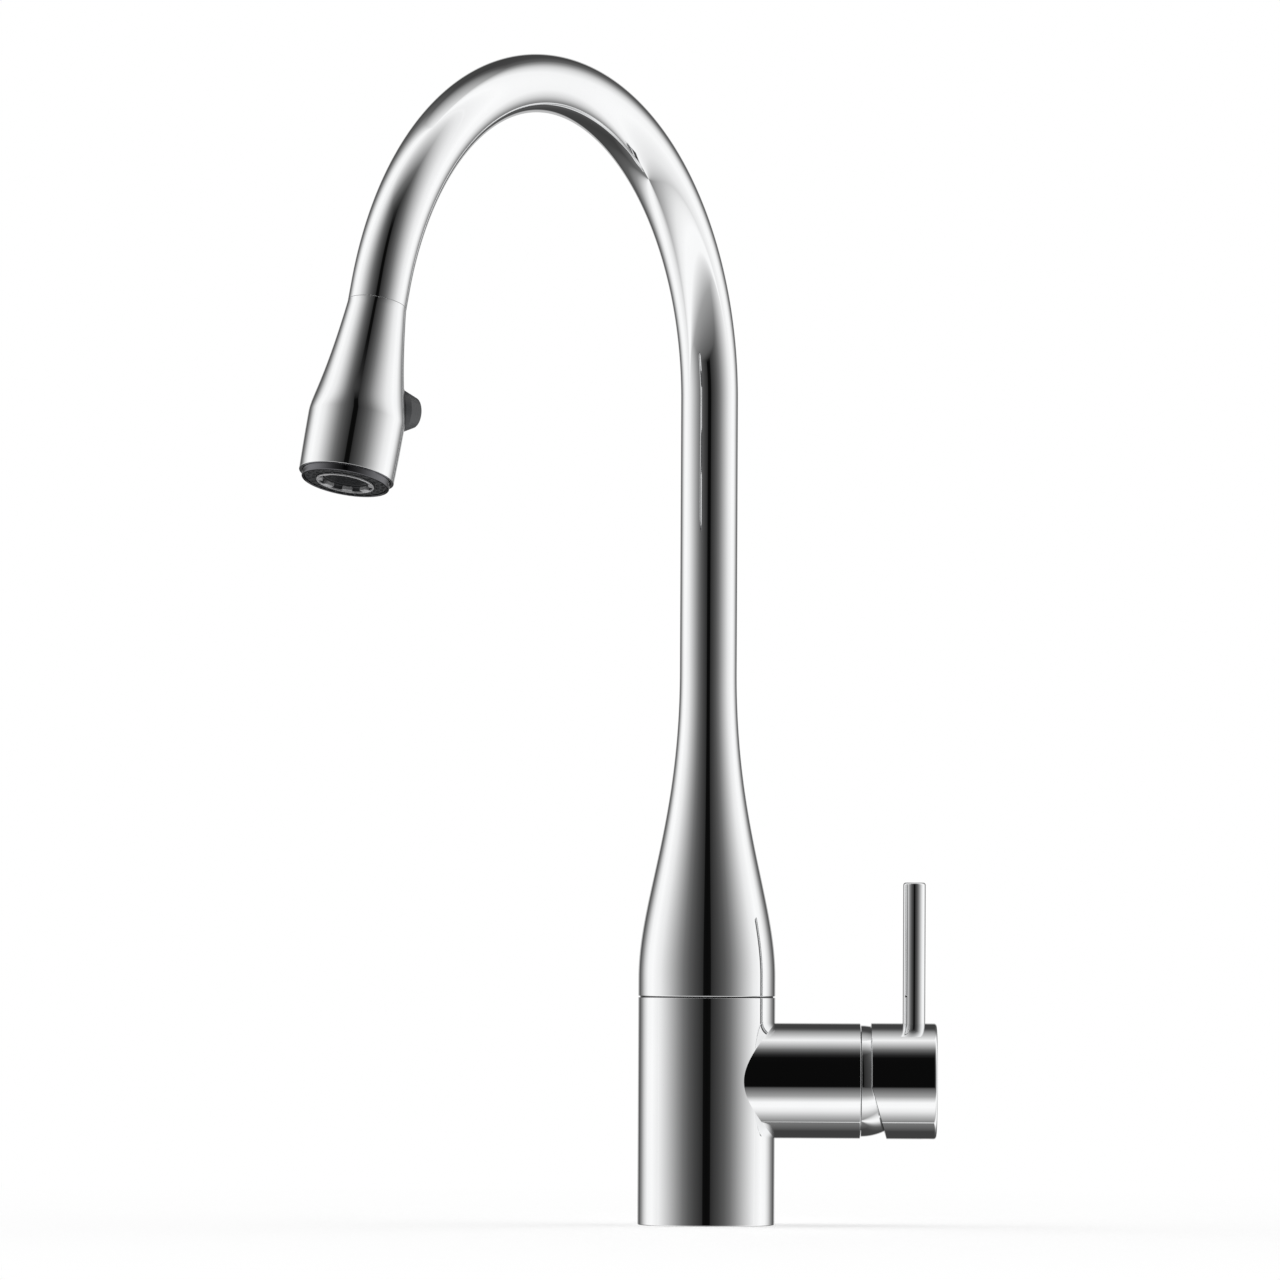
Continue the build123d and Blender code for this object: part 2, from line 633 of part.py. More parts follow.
def hub_grub_screw():
    """The grub screw that clamps the hub on the stem, reached from below."""
    gap = STEM_WIDTH / 2 + PRESS_GAP
    screw = rod(GRUB_R, gap, gap + GRUB_LENGTH)
    screw -= hexagon_bar(GRUB_R, gap + GRUB_LENGTH / 2, gap + GRUB_LENGTH + CUT)
    return place_of_boss() * Pos(0, 0, GRUB_X) * Rot(0, 90, 0) * screw


# ---- spout ----------------------------------------------------------------------------------
def bell_solid():
    """The bell that flares from the tube to the column's width."""
    flare = Bezier(
        (BELL_R, BELL_STRAIGHT_TOP),
        (BELL_R, BELL_STRAIGHT_TOP + BELL_LOWER_PULL),
        (TUBE_R, BELL_TOP - BELL_UPPER_PULL),
        (TUBE_R, BELL_TOP),
    )
    foot = Line((BELL_R, BELL_FOOT), (BELL_R, BELL_STRAIGHT_TOP))
    rest = Polyline((TUBE_R, BELL_TOP), (0, BELL_TOP), (0, BELL_FOOT), (BELL_R, BELL_FOOT))
    return revolve(Plane.XZ * make_face([foot, flare, rest]), Axis.Z)


def bell_bore():
    """The bell's hollow: a straight bore for the glide rings, then a cone up to the tube."""
    return lathe(
        (0, BELL_FOOT - CUT),
        (BELL_BORE_R, BELL_FOOT - CUT),
        (BELL_BORE_R, BELL_BORE_TOP),
        (TUBE_BORE_R, BELL_CONE_TOP),
        (TUBE_BORE_R, BELL_TOP + CUT),
        (0, BELL_TOP + CUT),
    )


def spout_shell():
    """The bell and the gooseneck, one polished hollow piece."""
    outer = thicken(gooseneck_path(BELL_TOP, SPOUT_END_RUN - FACE_GAP), TUBE_R)
    inner = thicken(gooseneck_path(BELL_TOP, SPOUT_END_RUN + CUT), TUBE_BORE_R)
    shell = bell_solid() - bell_bore() + (outer - inner)
    shell -= Pos(0, 0, LOCK_Z) * Rot(0, -90, 0) * rod(LOCK_R + PRESS_GAP, LOCK_SHOULDER - CUT, BELL_R + CUT)
    return spout_frame() * shell


def lower_glide_ring():
    """The plastic ring that the spout turns on: a thin flange in the seam and a sleeve inside."""
    inner = NECK_R + PRESS_GAP
    flange = sleeve(GLIDE_FLANGE_R, inner, COLUMN_TOP, COLUMN_TOP + GLIDE_FLANGE)
    return flange + sleeve(BELL_BORE_R - RUNNING_GAP, inner, COLUMN_TOP, COLUMN_TOP + GLIDE_SLEEVE)


def upper_glide_ring():
    """The plastic ring pressed in the bell, running on the neck."""
    high = UPPER_GLIDE_Z + UPPER_GLIDE_HEIGHT
    return sleeve(BELL_BORE_R - PRESS_GAP, NECK_R + RUNNING_GAP, UPPER_GLIDE_Z, high)


def spout_lock_screw():
    """The grub screw in the bell's back, whose tip runs in the neck's groove."""
    screw = rod(LOCK_R, LOCK_SHOULDER, LOCK_OUTER) + rod(LOCK_TIP_R, GROOVE_R + LOOSE_GAP, LOCK_SHOULDER)
    screw -= hexagon_bar(LOCK_R, LOCK_OUTER - LOCK_R, LOCK_OUTER + CUT)
    return spout_frame() * Pos(0, 0, LOCK_Z) * Rot(0, -90, 0) * screw


def docking_collar():
    """The plastic guide in the tube's end that the head docks in."""
    low = HEAD_LENGTH + FACE_GAP
    return head_frame() * sleeve(TUBE_BORE_R - PRESS_GAP, COLLAR_BORE_R, low, low + COLLAR_LENGTH)


def spray_hose():
    """The braided hose, from under the worktop to its ferrule inside the head."""
    path = gooseneck_path(HOSE_FOOT, SPOUT_END_RUN + HEAD_LENGTH - HOSE_END)
    return spout_frame() * (thicken(path, HOSE_R) - thicken(path, HOSE_BORE_R))


def hose_lower_fitting():
    """The brass nipple crimped on the hose's lower end, ready for the push-in coupler."""
    top = HOSE_FOOT + CRIMP_LENGTH
    fitting = rod(FERRULE_R, HOSE_FOOT - FITTING_FLANGE, top)
    fitting -= rod(HOSE_R + PRESS_GAP, HOSE_FOOT - FACE_GAP, top + CUT)
    fitting += rod(NIPPLE_R, HOSE_FOOT - LOWER_FITTING_LENGTH, HOSE_FOOT - CUT)
    return fitting - rod(INSERT_BORE_R, HOSE_FOOT - LOWER_FITTING_LENGTH - CUT, HOSE_FOOT)


# ---- spray head -----------------------------------------------------------------------------
def head_solid():
    """The head's outer form: slim where it docks, swelling to its mouth."""
    swell = Bezier(
        (HEAD_TOP_R, HEAD_LENGTH),
        (HEAD_TOP_R + HEAD_UPPER_PULL_R, HEAD_LENGTH - HEAD_UPPER_PULL),
        (HEAD_R, HEAD_BELLY + HEAD_LOWER_PULL),
        (HEAD_R, HEAD_BELLY),
    )
    tuck = Bezier((HEAD_R, HEAD_BELLY), (HEAD_R, HEAD_BELLY / 2), (HEAD_LIP_R, 0))
    rest = Polyline((HEAD_LIP_R, 0), (0, 0), (0, HEAD_LENGTH), (HEAD_TOP_R, HEAD_LENGTH))
    return revolve(Plane.XZ * make_face([swell, tuck, rest]), Axis.Z)


def head_bore():
    """The head's hollow, narrow at the top and open at the mouth."""
    return lathe(
        (0, -CUT),
        (HEAD_MOUTH_R, -CUT),
        (HEAD_MOUTH_R, HEAD_MOUTH),
        (HEAD_BORE_R, HEAD_MOUTH),
        (HEAD_BORE_R, HEAD_CONE_END),
        (HEAD_NECK_BORE_R, HEAD_NECK_BORE),
        (HEAD_NECK_BORE_R, HEAD_LENGTH + CUT),
        (0, HEAD_LENGTH + CUT),
    )


def button_bore(radius, low, high):
    """A round bar on the button's axis, in the head's own frame."""
    return Pos(0, 0, BUTTON_S) * Rot(0, BUTTON_RISE - 90, 0) * rod(radius, low, high)


def spray_shell():
    """The head's polished shell, with the hole for the button."""
    shell = head_solid() - head_bore() - button_bore(BEZEL_R + PRESS_GAP, HOLE_START, 2 * HEAD_R)
    return head_frame() * shell


def docking_spigot():
    """The plastic nose on top of the head that slides up into the spout."""
    root_r = HEAD_NECK_BORE_R - PRESS_GAP
    root = sleeve(root_r, SPIGOT_BORE_R, HEAD_NECK_BORE + FACE_GAP, HEAD_LENGTH - FACE_GAP)
    nose_r = COLLAR_BORE_R - RUNNING_GAP
    nose = sleeve(nose_r, SPIGOT_BORE_R, HEAD_LENGTH - CUT, HEAD_LENGTH + DOCK_RISE)
    return head_frame() * (root + nose)


def hose_ferrule():
    """The steel ferrule crimped on the hose's upper end."""
    return head_frame() * sleeve(FERRULE_R, HOSE_R + PRESS_GAP, HOSE_END, FERRULE_TOP)


def hose_insert():
    """The brass tail inside the hose's end, with the flange that seals in the head."""
    tail = sleeve(HOSE_BORE_R - PRESS_GAP, INSERT_BORE_R, HOSE_END - CUT, FERRULE_TOP)
    flange = sleeve(FERRULE_R, INSERT_BORE_R, HOSE_END - INSERT_FLANGE, HOSE_END - PRESS_GAP)
    return head_frame() * (tail + flange)


def hose_swivel_nut():
    """The nut that holds the hose's flange on the head's inlet and lets it turn."""
    nut = hexagon_bar(HOSE_NUT_FLATS, HOSE_NUT_FOOT, HOSE_NUT_TOP)
    nut -= rod(FERRULE_R + RUNNING_GAP, HOSE_NUT_FOOT - CUT, HOSE_NUT_TOP + CUT)
    return head_frame() * nut


def hose_seal_washer():
    """The flat rubber washer under the hose's flange."""
    low = INLET_TOP + PRESS_GAP
    high = HOSE_END - INSERT_FLANGE - FACE_GAP
    return head_frame() * sleeve(FERRULE_R - LOOSE_GAP, INSERT_BORE_R, low, high)


def waterway_body():
    """The plastic core of the head: inlet, valve seat, cross bore and two ways out."""
    core = rod(WATERWAY_R, WATERWAY_FOOT, WATERWAY_TOP)
    core += rod(FERRULE_R, WATERWAY_TOP - CUT, INLET_TOP)
    core -= rod(VALVE_R + PRESS_GAP, VALVE_FOOT, INLET_TOP + CUT)
    core -= rod(CORE_BORE_R, WATERWAY_FOOT - CUT, VALVE_FOOT + CUT)
    core -= button_bore(SPOOL_BORE_R, BORE_INNER, 2 * WATERWAY_R)
    core -= button_bore(BEZEL_R + LOOSE_GAP, SPRING_SEAT, 2 * WATERWAY_R)
    return head_frame() * core


def check_valve():
    """The non-return valve in the head's inlet: a cage with its poppet."""
    low = VALVE_FOOT + FACE_GAP
    bore = VALVE_R - VALVE_WALL
    cage = sleeve(VALVE_R, bore, low, low + VALVE_HEIGHT)
    middle = low + VALVE_HEIGHT / 2
    poppet = sleeve(bore + CUT / 2, bore / 4, middle - POPPET_HEIGHT / 2, middle + POPPET_HEIGHT / 2)
    return head_frame() * (cage + poppet)


# ---- button ---------------------------------------------------------------------------------
def button_bezel():
    """The ring in the shell that the button moves in."""
    return button_frame() * sleeve(BEZEL_R, BUTTON_SKIRT_R + LOOSE_GAP, BEZEL_BACK, BEZEL_FRONT)


def diverter_button():
    """The button cap: a short hollow cone with a stalk that carries the spool."""
    cap = lathe(
        (0, BUTTON_FACE),
        (BUTTON_FACE_R, BUTTON_FACE),
        (BUTTON_SKIRT_R, BEZEL_FRONT),
        (BUTTON_SKIRT_R, BUTTON_SKIRT),
        (BUTTON_SKIRT_R - BUTTON_WALL, BUTTON_SKIRT),
        (BUTTON_SKIRT_R - BUTTON_WALL, BEZEL_FRONT),
        (0, BUTTON_FACE - BUTTON_WALL),
    )
    stalk = rod(STALK_R, SPOOL_INNER + SPOOL_LENGTH + PRESS_GAP, BUTTON_FACE - BUTTON_WALL)
    return button_frame() * (cap + stalk)


def spool_groove_places():
    """Where the spool's two seal grooves lie along the button's axis."""
    return (SPOOL_INNER + SPOOL_LENGTH / 4, SPOOL_INNER + 3 * SPOOL_LENGTH / 4)


def diverter_spool():
    """The spool that sends the water to the jet or to the spray."""
    spool = rod(SPOOL_R, SPOOL_INNER, SPOOL_INNER + SPOOL_LENGTH)
    root = SPOOL_R - SPOOL_GROOVE
    for place in spool_groove_places():
        spool -= sleeve(SPOOL_R + CUT, root, place - SPOOL_GROOVE / 2, place + SPOOL_GROOVE / 2)
    middle = SPOOL_INNER + SPOOL_LENGTH / 2
    spool -= sleeve(SPOOL_R + CUT, root, middle - SPOOL_WAIST / 2, middle + SPOOL_WAIST / 2)
    return button_frame() * spool


def spool_seals():
    """The spool's two O-rings."""
    radius = SPOOL_GROOVE / 2 - PRESS_GAP
    ring = Torus(SPOOL_R - SPOOL_GROOVE / 2, radius)
    return button_frame() * Compound([Pos(0, 0, place) * ring for place in spool_groove_places()])


def diverter_spring():
    """The coil spring that pushes the button out."""
    low = SPRING_SEAT + FACE_GAP + SPRING_WIRE_R
    height = SPRING_TOP - SPRING_WIRE_R - low
    path = Pos(0, 0, low) * Helix(height / SPRING_TURNS, height, SPRING_R)
    start = path @ 0
    wire = sweep(Plane(origin=start, z_dir=path % 0) * Circle(SPRING_WIRE_R), path=path, is_frenet=True)
    return button_frame() * wire


# ---- spray face -----------------------------------------------------------------------------
def nozzle_ring():
    """The dark ring that shows below the shell's lip."""
    wall = NOZZLE_RING_WALL
    ring = lathe(
        (NOZZLE_RING_R, HEAD_MOUTH - PRESS_GAP),
        (NOZZLE_RING_R, -NOZZLE_RING_DROP + wall / 2),
        (NOZZLE_RING_R - wall / 2, -NOZZLE_RING_DROP),
        (NOZZLE_RING_R - wall, -NOZZLE_RING_DROP),
        (NOZZLE_RING_R - wall, HEAD_MOUTH - PRESS_GAP),
    )
    return head_frame() * ring


def spray_face():
    """The dark face ring with two circles of soft nozzles."""
    face = sleeve(FACE_R, FACE_HOLE_R, -FACE_DROP, FACE_THICKNESS - FACE_DROP)
    for circle_r, count in NUB_CIRCLES:
        nub = Pos(circle_r, 0, 0) * rod(NUB_R, -FACE_DROP - NUB_DROP, 0)
        for turn in range(count):
            face += Rot(0, 0, 360 * turn / count) * nub
    return head_frame() * face


def face_seal():
    """The O-ring between the core and the spray face."""
    return head_frame() * Pos(0, 0, WATERWAY_FOOT - O_RING_R - PRESS_GAP) * Torus(WATERWAY_R - CUT, O_RING_R)


def aerator_ring():
    """The castellated ring round the jet outlet, turned with a coin to take the aerator out."""
    ring = sleeve(CASTLE_R, CASTLE_BORE_R, -CASTLE_DROP, WATERWAY_FOOT - PRESS_GAP - 2 * O_RING_R)
    width = 2 * math.pi * CASTLE_R / CASTLE_SLOTS * CASTLE_SLOT_SHARE
    for turn in range(CASTLE_SLOTS):
        slot = slab(CASTLE_R, width, -CASTLE_DROP - CUT, CASTLE_SLOT_DEPTH - CASTLE_DROP)
        slot = Pos(CASTLE_R, 0, 0) * slot
        ring -= Rot(0, 0, 360 * turn / CASTLE_SLOTS) * slot
    return head_frame() * ring


def aerator_insert():
    """The honeycomb disc that breaks up the jet."""
    disc = rod(MESH_R, -MESH_DROP, MESH_THICKNESS - MESH_DROP)
    hole = rod(MESH_HOLE_R, -MESH_DROP - CUT, MESH_THICKNESS - MESH_DROP + CUT)
    holes = [hole]
    for step in range(1, MESH_RINGS + 1):
        for turn in range(6 * step):
            holes.append(Rot(0, 0, 60 * turn / step) * Pos(step * MESH_PITCH, 0, 0) * hole)
    return head_frame() * (disc - holes)


def parts():
    """Every piece of the tap, by name."""
    angles = pipe_angles()
    return {
        "column_body": column_body(),
        "foot_seal": foot_seal(),
        "threaded_shank": threaded_shank(),
        "deck_gasket": deck_gasket(),
        "clamp_washer": clamp_washer(),
        "clamp_nut": clamp_nut(),
        "hot_inlet_pipe": water_pipe(angles["hot"]),
        "cold_inlet_pipe": water_pipe(angles["cold"]),
        "outlet_pipe": water_pipe(angles["outlet"]),
        "hot_union": union(angles["hot"]),
        "cold_union": union(angles["cold"]),
        "outlet_coupler": outlet_coupler(angles["outlet"]),
        "cartridge_base": cartridge_base(),
        "cartridge_port_seals": cartridge_port_seals(),
        "cartridge_housing": cartridge_housing(),
        "fixed_ceramic_disc": fixed_ceramic_disc(),
        "moving_ceramic_disc": moving_ceramic_disc(),
        "disc_carrier": disc_carrier(),
        "cartridge_rotor": cartridge_rotor(),
        "stem_pivot_pin": stem_pivot_pin(),
        "cartridge_stem": cartridge_stem(),
        "cartridge_nut": cartridge_nut(),
        "dome_cover": dome_cover(),
        "lever_hub": lever_hub(),
        "lever_rod": lever_rod(),
        "hub_grub_screw": hub_grub_screw(),
        "spout_shell": spout_shell(),
        "lower_glide_ring": lower_glide_ring(),
        "upper_glide_ring": upper_glide_ring(),
        "spout_lock_screw": spout_lock_screw(),
        "docking_collar": docking_collar(),
        "spray_hose": spray_hose(),
        "hose_lower_fitting": hose_lower_fitting(),
        "hose_ferrule": hose_ferrule(),
        "hose_insert": hose_insert(),
        "spray_shell": spray_shell(),
        "docking_spigot": docking_spigot(),
        "hose_swivel_nut": hose_swivel_nut(),
        "hose_seal_washer": hose_seal_washer(),
        "waterway_body": waterway_body(),
        "check_valve": check_valve(),
        "button_bezel": button_bezel(),
        "diverter_button": diverter_button(),
        "diverter_spool": diverter_spool(),
        "spool_seals": spool_seals(),
        "diverter_spring": diverter_spring(),
        "nozzle_ring": nozzle_ring(),
        "spray_face": spray_face(),
        "face_seal": face_seal(),
        "aerator_ring": aerator_ring(),
        "aerator_insert": aerator_insert(),
    }


os.makedirs("parts", exist_ok=True)
for name, shape in parts().items():
    export_step(shape, f"parts/{name}.step")
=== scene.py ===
"""The looks of a pull-down kitchen mixer tap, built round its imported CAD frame.

Sizes inside the classes are millimetres in a local frame; Axes.place() turns them into metres in the
row frame. The axes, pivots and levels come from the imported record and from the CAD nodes' own places.
"""

import json
import logging
import math
from dataclasses import dataclass, field
from enum import Enum
from typing import Iterable, Optional, Sequence

import bpy
import bmesh
import numpy as np
from mathutils import Matrix, Vector

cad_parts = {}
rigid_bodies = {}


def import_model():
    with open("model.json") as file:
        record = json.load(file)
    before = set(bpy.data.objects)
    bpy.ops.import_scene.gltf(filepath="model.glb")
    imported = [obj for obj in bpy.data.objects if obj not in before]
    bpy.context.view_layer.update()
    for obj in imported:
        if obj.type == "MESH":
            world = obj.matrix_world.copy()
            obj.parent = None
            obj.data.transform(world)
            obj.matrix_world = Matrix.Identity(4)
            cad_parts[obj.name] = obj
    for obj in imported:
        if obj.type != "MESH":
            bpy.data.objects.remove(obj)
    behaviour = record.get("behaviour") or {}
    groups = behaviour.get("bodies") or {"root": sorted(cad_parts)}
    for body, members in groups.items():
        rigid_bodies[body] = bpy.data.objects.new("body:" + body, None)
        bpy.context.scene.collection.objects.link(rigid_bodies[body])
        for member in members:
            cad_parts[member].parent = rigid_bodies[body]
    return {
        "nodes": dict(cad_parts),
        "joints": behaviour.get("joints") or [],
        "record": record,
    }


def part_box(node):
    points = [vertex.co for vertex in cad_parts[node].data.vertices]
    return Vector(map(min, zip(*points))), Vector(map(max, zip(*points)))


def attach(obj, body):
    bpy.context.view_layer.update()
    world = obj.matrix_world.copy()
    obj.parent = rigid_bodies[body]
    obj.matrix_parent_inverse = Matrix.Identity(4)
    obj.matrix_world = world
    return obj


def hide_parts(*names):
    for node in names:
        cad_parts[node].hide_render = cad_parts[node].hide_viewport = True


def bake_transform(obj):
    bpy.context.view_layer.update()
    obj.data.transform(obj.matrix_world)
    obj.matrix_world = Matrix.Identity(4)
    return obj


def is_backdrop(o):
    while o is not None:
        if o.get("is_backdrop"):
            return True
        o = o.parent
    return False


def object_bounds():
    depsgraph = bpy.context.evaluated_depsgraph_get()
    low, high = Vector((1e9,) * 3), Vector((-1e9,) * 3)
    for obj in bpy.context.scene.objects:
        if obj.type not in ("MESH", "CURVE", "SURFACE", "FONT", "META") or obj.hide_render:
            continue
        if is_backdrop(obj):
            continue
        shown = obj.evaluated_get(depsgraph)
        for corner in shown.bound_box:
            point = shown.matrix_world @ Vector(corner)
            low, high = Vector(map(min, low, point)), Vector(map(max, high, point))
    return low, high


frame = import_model()
CAD_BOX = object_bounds()

LOG = logging.getLogger("mixer_tap")
MM = 0.001
ROUND_STEPS = 192
SHARP_ANGLE = math.radians(32)
UNDER_FLOOR = -0.002  # metres: what reaches below it is hardware under the worktop
SUPPORT = 0.12  # millimetres between a softened corner and the loop that keeps the flat beside it flat
JOINTS = {joint["name"]: joint for joint in frame["joints"]}


class Body(Enum):
    """The bodies that pieces ride on."""

    BASE = "base"
    SPOUT = "spout"
    LEVER = "lever"
    HOSE_END = "hose_end"
    HEAD = "spray_head"
    BUTTON = "button"


class Marks(Enum):
    """What a metal's surface shows close to."""

    POLISHED = "polished"
    TURNED = "turned"
    SATIN = "satin"


class Join(Enum):
    """What a cutting shape does to a piece."""

    ADD = "UNION"
    CUT = "DIFFERENCE"
    KEEP = "INTERSECT"


# ---- local frames ---------------------------------------------------------------------------


@dataclass(frozen=True)
class Axes:
    """A right-handed local frame: its origin in metres and its three unit directions."""

    origin: Vector
    x: Vector
    y: Vector
    z: Vector

    @classmethod
    def along(cls, origin: Sequence[float], z: Sequence[float], x_hint: Sequence[float]) -> "Axes":
        """Makes a frame from its +Z and a direction that its +X leans to.

        Args:
            origin: The frame's origin in metres.
            z: The direction of its +Z.
            x_hint: Any direction not along z.

        Returns:
            The frame.
        """
        up = Vector(z).normalized()
        x = Vector(x_hint)
        x = (x - up * x.dot(up)).normalized()
        return cls(Vector(origin), x, up.cross(x), up)

    def turned(self, degrees: float) -> "Axes":
        """The frame turned about its own +Z."""
        a = math.radians(degrees)
        x = self.x * math.cos(a) + self.y * math.sin(a)
        return Axes(self.origin, x, self.z.cross(x), self.z)

    def place(self, points: np.ndarray) -> np.ndarray:
        """Turns local millimetres, one row a point, into metres in the row frame."""
        return np.array(self.origin) + MM * np.asarray(points, float) @ np.array([self.x, self.y, self.z])

    def local(self, points: np.ndarray) -> np.ndarray:
        """Turns metres in the row frame into local millimetres."""
        return (np.asarray(points, float) - np.array(self.origin)) @ np.array([self.x, self.y, self.z]).T / MM

    def matrix(self) -> Matrix:
        """The matrix from the local frame, in metres, to the row frame."""
        rotation = Matrix((self.x, self.y, self.z)).transposed().to_4x4()
        return Matrix.Translation(self.origin) @ rotation


def cad_points(node: str) -> np.ndarray:
    """The vertices of a CAD node in metres."""
    mesh = frame["nodes"][node].data
    co = np.zeros(len(mesh.vertices) * 3, np.float32)
    mesh.vertices.foreach_get("co", co)
    return co.reshape(-1, 3).astype(float)


def reach(node: str, axes: Axes) -> tuple[float, float]:
    """How far a CAD node reaches along a frame's +Z, lowest and highest, in millimetres."""
    heights = axes.local(cad_points(node))[:, 2]
    return float(heights.min()), float(heights.max())


def column_axes() -> Axes:
    """The column's frame: +Z up from the centre of its foot."""
    return Axes.along((0, 0, 0), (0, 0, 1), (1, 0, 0))


def boss_axes() -> Axes:
    """The lever side's frame: +Z runs out along the boss and +X points down, from the column's axis."""
    pivot = JOINTS["temperature_turn"]["pos_m"]
    return Axes.along((0, 0, pivot[2]), (1, 0, 0), (0, 0, -1))


def head_axes() -> Axes:
    """The spray head's frame: the origin at the lip's centre, +Z up the head, +X towards the button."""
    joint = JOINTS["head_turn"]
    down = Vector(joint["axis"])
    inwards = Vector(JOINTS["button_press"]["axis"])
    return Axes.along(joint["pos_m"], -down, -inwards)


def spout_axes() -> Axes:
    """The spout's plane: +X is the way that the spout points and +Z is up."""
    down = Vector(JOINTS["head_turn"]["axis"])
    return Axes.along((0, 0, 0), (0, 0, 1), (down.x, down.y, 0))


def button_axes(crossing: float) -> Axes:
    """The button's frame: +Z runs out of the head.

    Args:
        crossing: How far above the lip the button's axis crosses the head's.

    Returns:
        The frame, with its origin on the head's axis.
    """
    head = head_axes()
    outwards = -Vector(JOINTS["button_press"]["axis"])
    return Axes.along(head.origin + head.z * crossing * MM, outwards, head.z)


# ---- sections and the pieces turned from them -----------------------------------------------


@dataclass
class Section:
    """A closed half section, walked anticlockwise with the radius to the right and the axis upwards."""

    corners: list[tuple[float, float, float]] = field(default_factory=list)

    def to(self, radius: float, height: float, soften: float = 0.0) -> "Section":
        """Adds a corner, softened to a small radius if asked."""
        self.corners.append((radius, height, soften))
        return self

    def curve(self, *control: tuple[float, float], steps: int = 40) -> "Section":
        """Adds a Bezier curve's points, both of its ends among them."""
        points = np.array(control, float)
        degree = len(points) - 1
        for t in np.linspace(0, 1, steps + 1):
            weights = [math.comb(degree, i) * (1 - t) ** (degree - i) * t**i for i in range(degree + 1)]
            radius, height = np.array(weights) @ points
            self.corners.append((float(radius), float(height), 0.0))
        return self

    def line(self, end: tuple[float, float], steps: int) -> "Section":
        """Adds evenly spaced points from the last corner to an end, for a wall that is bent later."""
        r0, h0, _ = self.corners[-1]
        for i in range(1, steps + 1):
            t = i / steps
            self.corners.append((r0 + (end[0] - r0) * t, h0 + (end[1] - h0) * t, 0.0))
        return self

    def outline(self) -> np.ndarray:
        """The section's points with its corners softened, one (radius, height) row each."""
        rows: list[np.ndarray] = []
        count = len(self.corners)
        for i, (radius, height, soften) in enumerate(self.corners):
            here = np.array((radius, height))
            if soften <= 0:
                rows.append(here)
                continue
            before = np.array(self.corners[i - 1][:2]) - here
            after = np.array(self.corners[(i + 1) % count][:2]) - here
            rows.extend(self._softened(here, before, after, soften))
        kept = [row for i, row in enumerate(rows) if np.linalg.norm(row - rows[i - 1]) > 1e-5]
        return np.array(kept)

    @staticmethod
    def _softened(here: np.ndarray, before: np.ndarray, after: np.ndarray, soften: float) -> list[np.ndarray]:
        """The points that round one corner, with a support point each side."""
        long_a, long_b = np.linalg.norm(before), np.linalg.norm(after)
        a, b = before / long_a, after / long_b
        half = math.acos(max(-1.0, min(1.0, float(a @ b)))) / 2
        tangent = min(soften / math.tan(half), 0.42 * long_a, 0.42 * long_b)
        radius = tangent * math.tan(half)
        centre = here + (a + b) / np.linalg.norm(a + b) * radius / math.sin(half)
        first, last = here + a * tangent - centre, here + b * tangent - centre
        sweep = math.pi - 2 * half
        steps = max(3, int(math.degrees(sweep) / 12))
        rows = [here + a * min(tangent + SUPPORT, 0.5 * long_a)]
        for k in range(steps + 1):
            t = k / steps
            mix = (math.sin((1 - t) * sweep) * first + math.sin(t * sweep) * last) / math.sin(sweep)
            rows.append(centre + mix)
        rows.append(here + b * min(tangent + SUPPORT, 0.5 * long_b))
        return rows


def tube_section(outer: float, inner: float, low: float, high: float, soften: float = 0.2) -> Section:
    """The section of a plain ring with softened edges."""
    section = Section().to(inner, low, soften / 2).to(outer, low, soften)
    return section.to(outer, high, soften).to(inner, high, soften / 2)


def bar_section(radius: float, low: float, high: float, soften: float = 0.2) -> Section:
    """The section of a plain round bar with softened edges."""
    return Section().to(0, low).to(radius, low, soften).to(radius, high, soften).to(0, high)


def new_piece(name: str, points: np.ndarray, faces: Iterable[Sequence[int]]) -> bpy.types.Object:
    """Makes a smooth-shaded mesh object at the origin.

    Args:
        name: The piece's name.
        points: Its vertices, in metres in the row frame.
        faces: Its faces, as rows of vertex numbers.

    Returns:
        The new object.
    """
    mesh = bpy.data.meshes.new(name)
    mesh.from_pydata(np.asarray(points, float).tolist(), [], [list(map(int, f)) for f in faces])
    mesh.update()
    piece = bpy.data.objects.new(name, mesh)
    bpy.context.scene.collection.objects.link(piece)
    mesh.polygons.foreach_set("use_smooth", np.ones(len(mesh.polygons), bool))
    return piece


def round_faces(radii: np.ndarray, steps: int) -> tuple[list[tuple[int, ...]], np.ndarray]:
    """The faces between the rings of a closed section, and where each ring's vertices start."""
    on_axis = radii < 1e-7
    starts = np.concatenate(([0], np.cumsum(np.where(on_axis, 1, steps))))[:-1]
    faces: list[tuple[int, ...]] = []
    turn = np.arange(steps)
    after = (turn + 1) % steps
    for i in range(len(radii)):
        j = (i + 1) % len(radii)
        a, b = starts[i], starts[j]
        if on_axis[i] and on_axis[j]:
            continue
        if on_axis[i]:
            faces.extend(zip(np.full(steps, a), b + after, b + turn))
        elif on_axis[j]:
            faces.extend(zip(a + turn, a + after, np.full(steps, b)))
        else:
            faces.extend(zip(a + turn, a + after, b + after, b + turn))
    return faces, starts


def turned(name: str, section: Section, axes: Axes, steps: int = ROUND_STEPS) -> bpy.types.Object:
    """Turns a section about a frame's +Z into a closed smooth piece."""
    outline = section.outline()
    faces, _ = round_faces(outline[:, 0], steps)
    angles = np.arange(steps) * 2 * math.pi / steps
    rows = []
    for radius, height in outline:
        if radius < 1e-7:
            rows.append(np.array([[0.0, 0.0, height]]))
            continue
        ring = [radius * np.cos(angles), radius * np.sin(angles), np.full(steps, height)]
        rows.append(np.stack(ring, axis=1))
    return new_piece(name, axes.place(np.concatenate(rows)), faces)


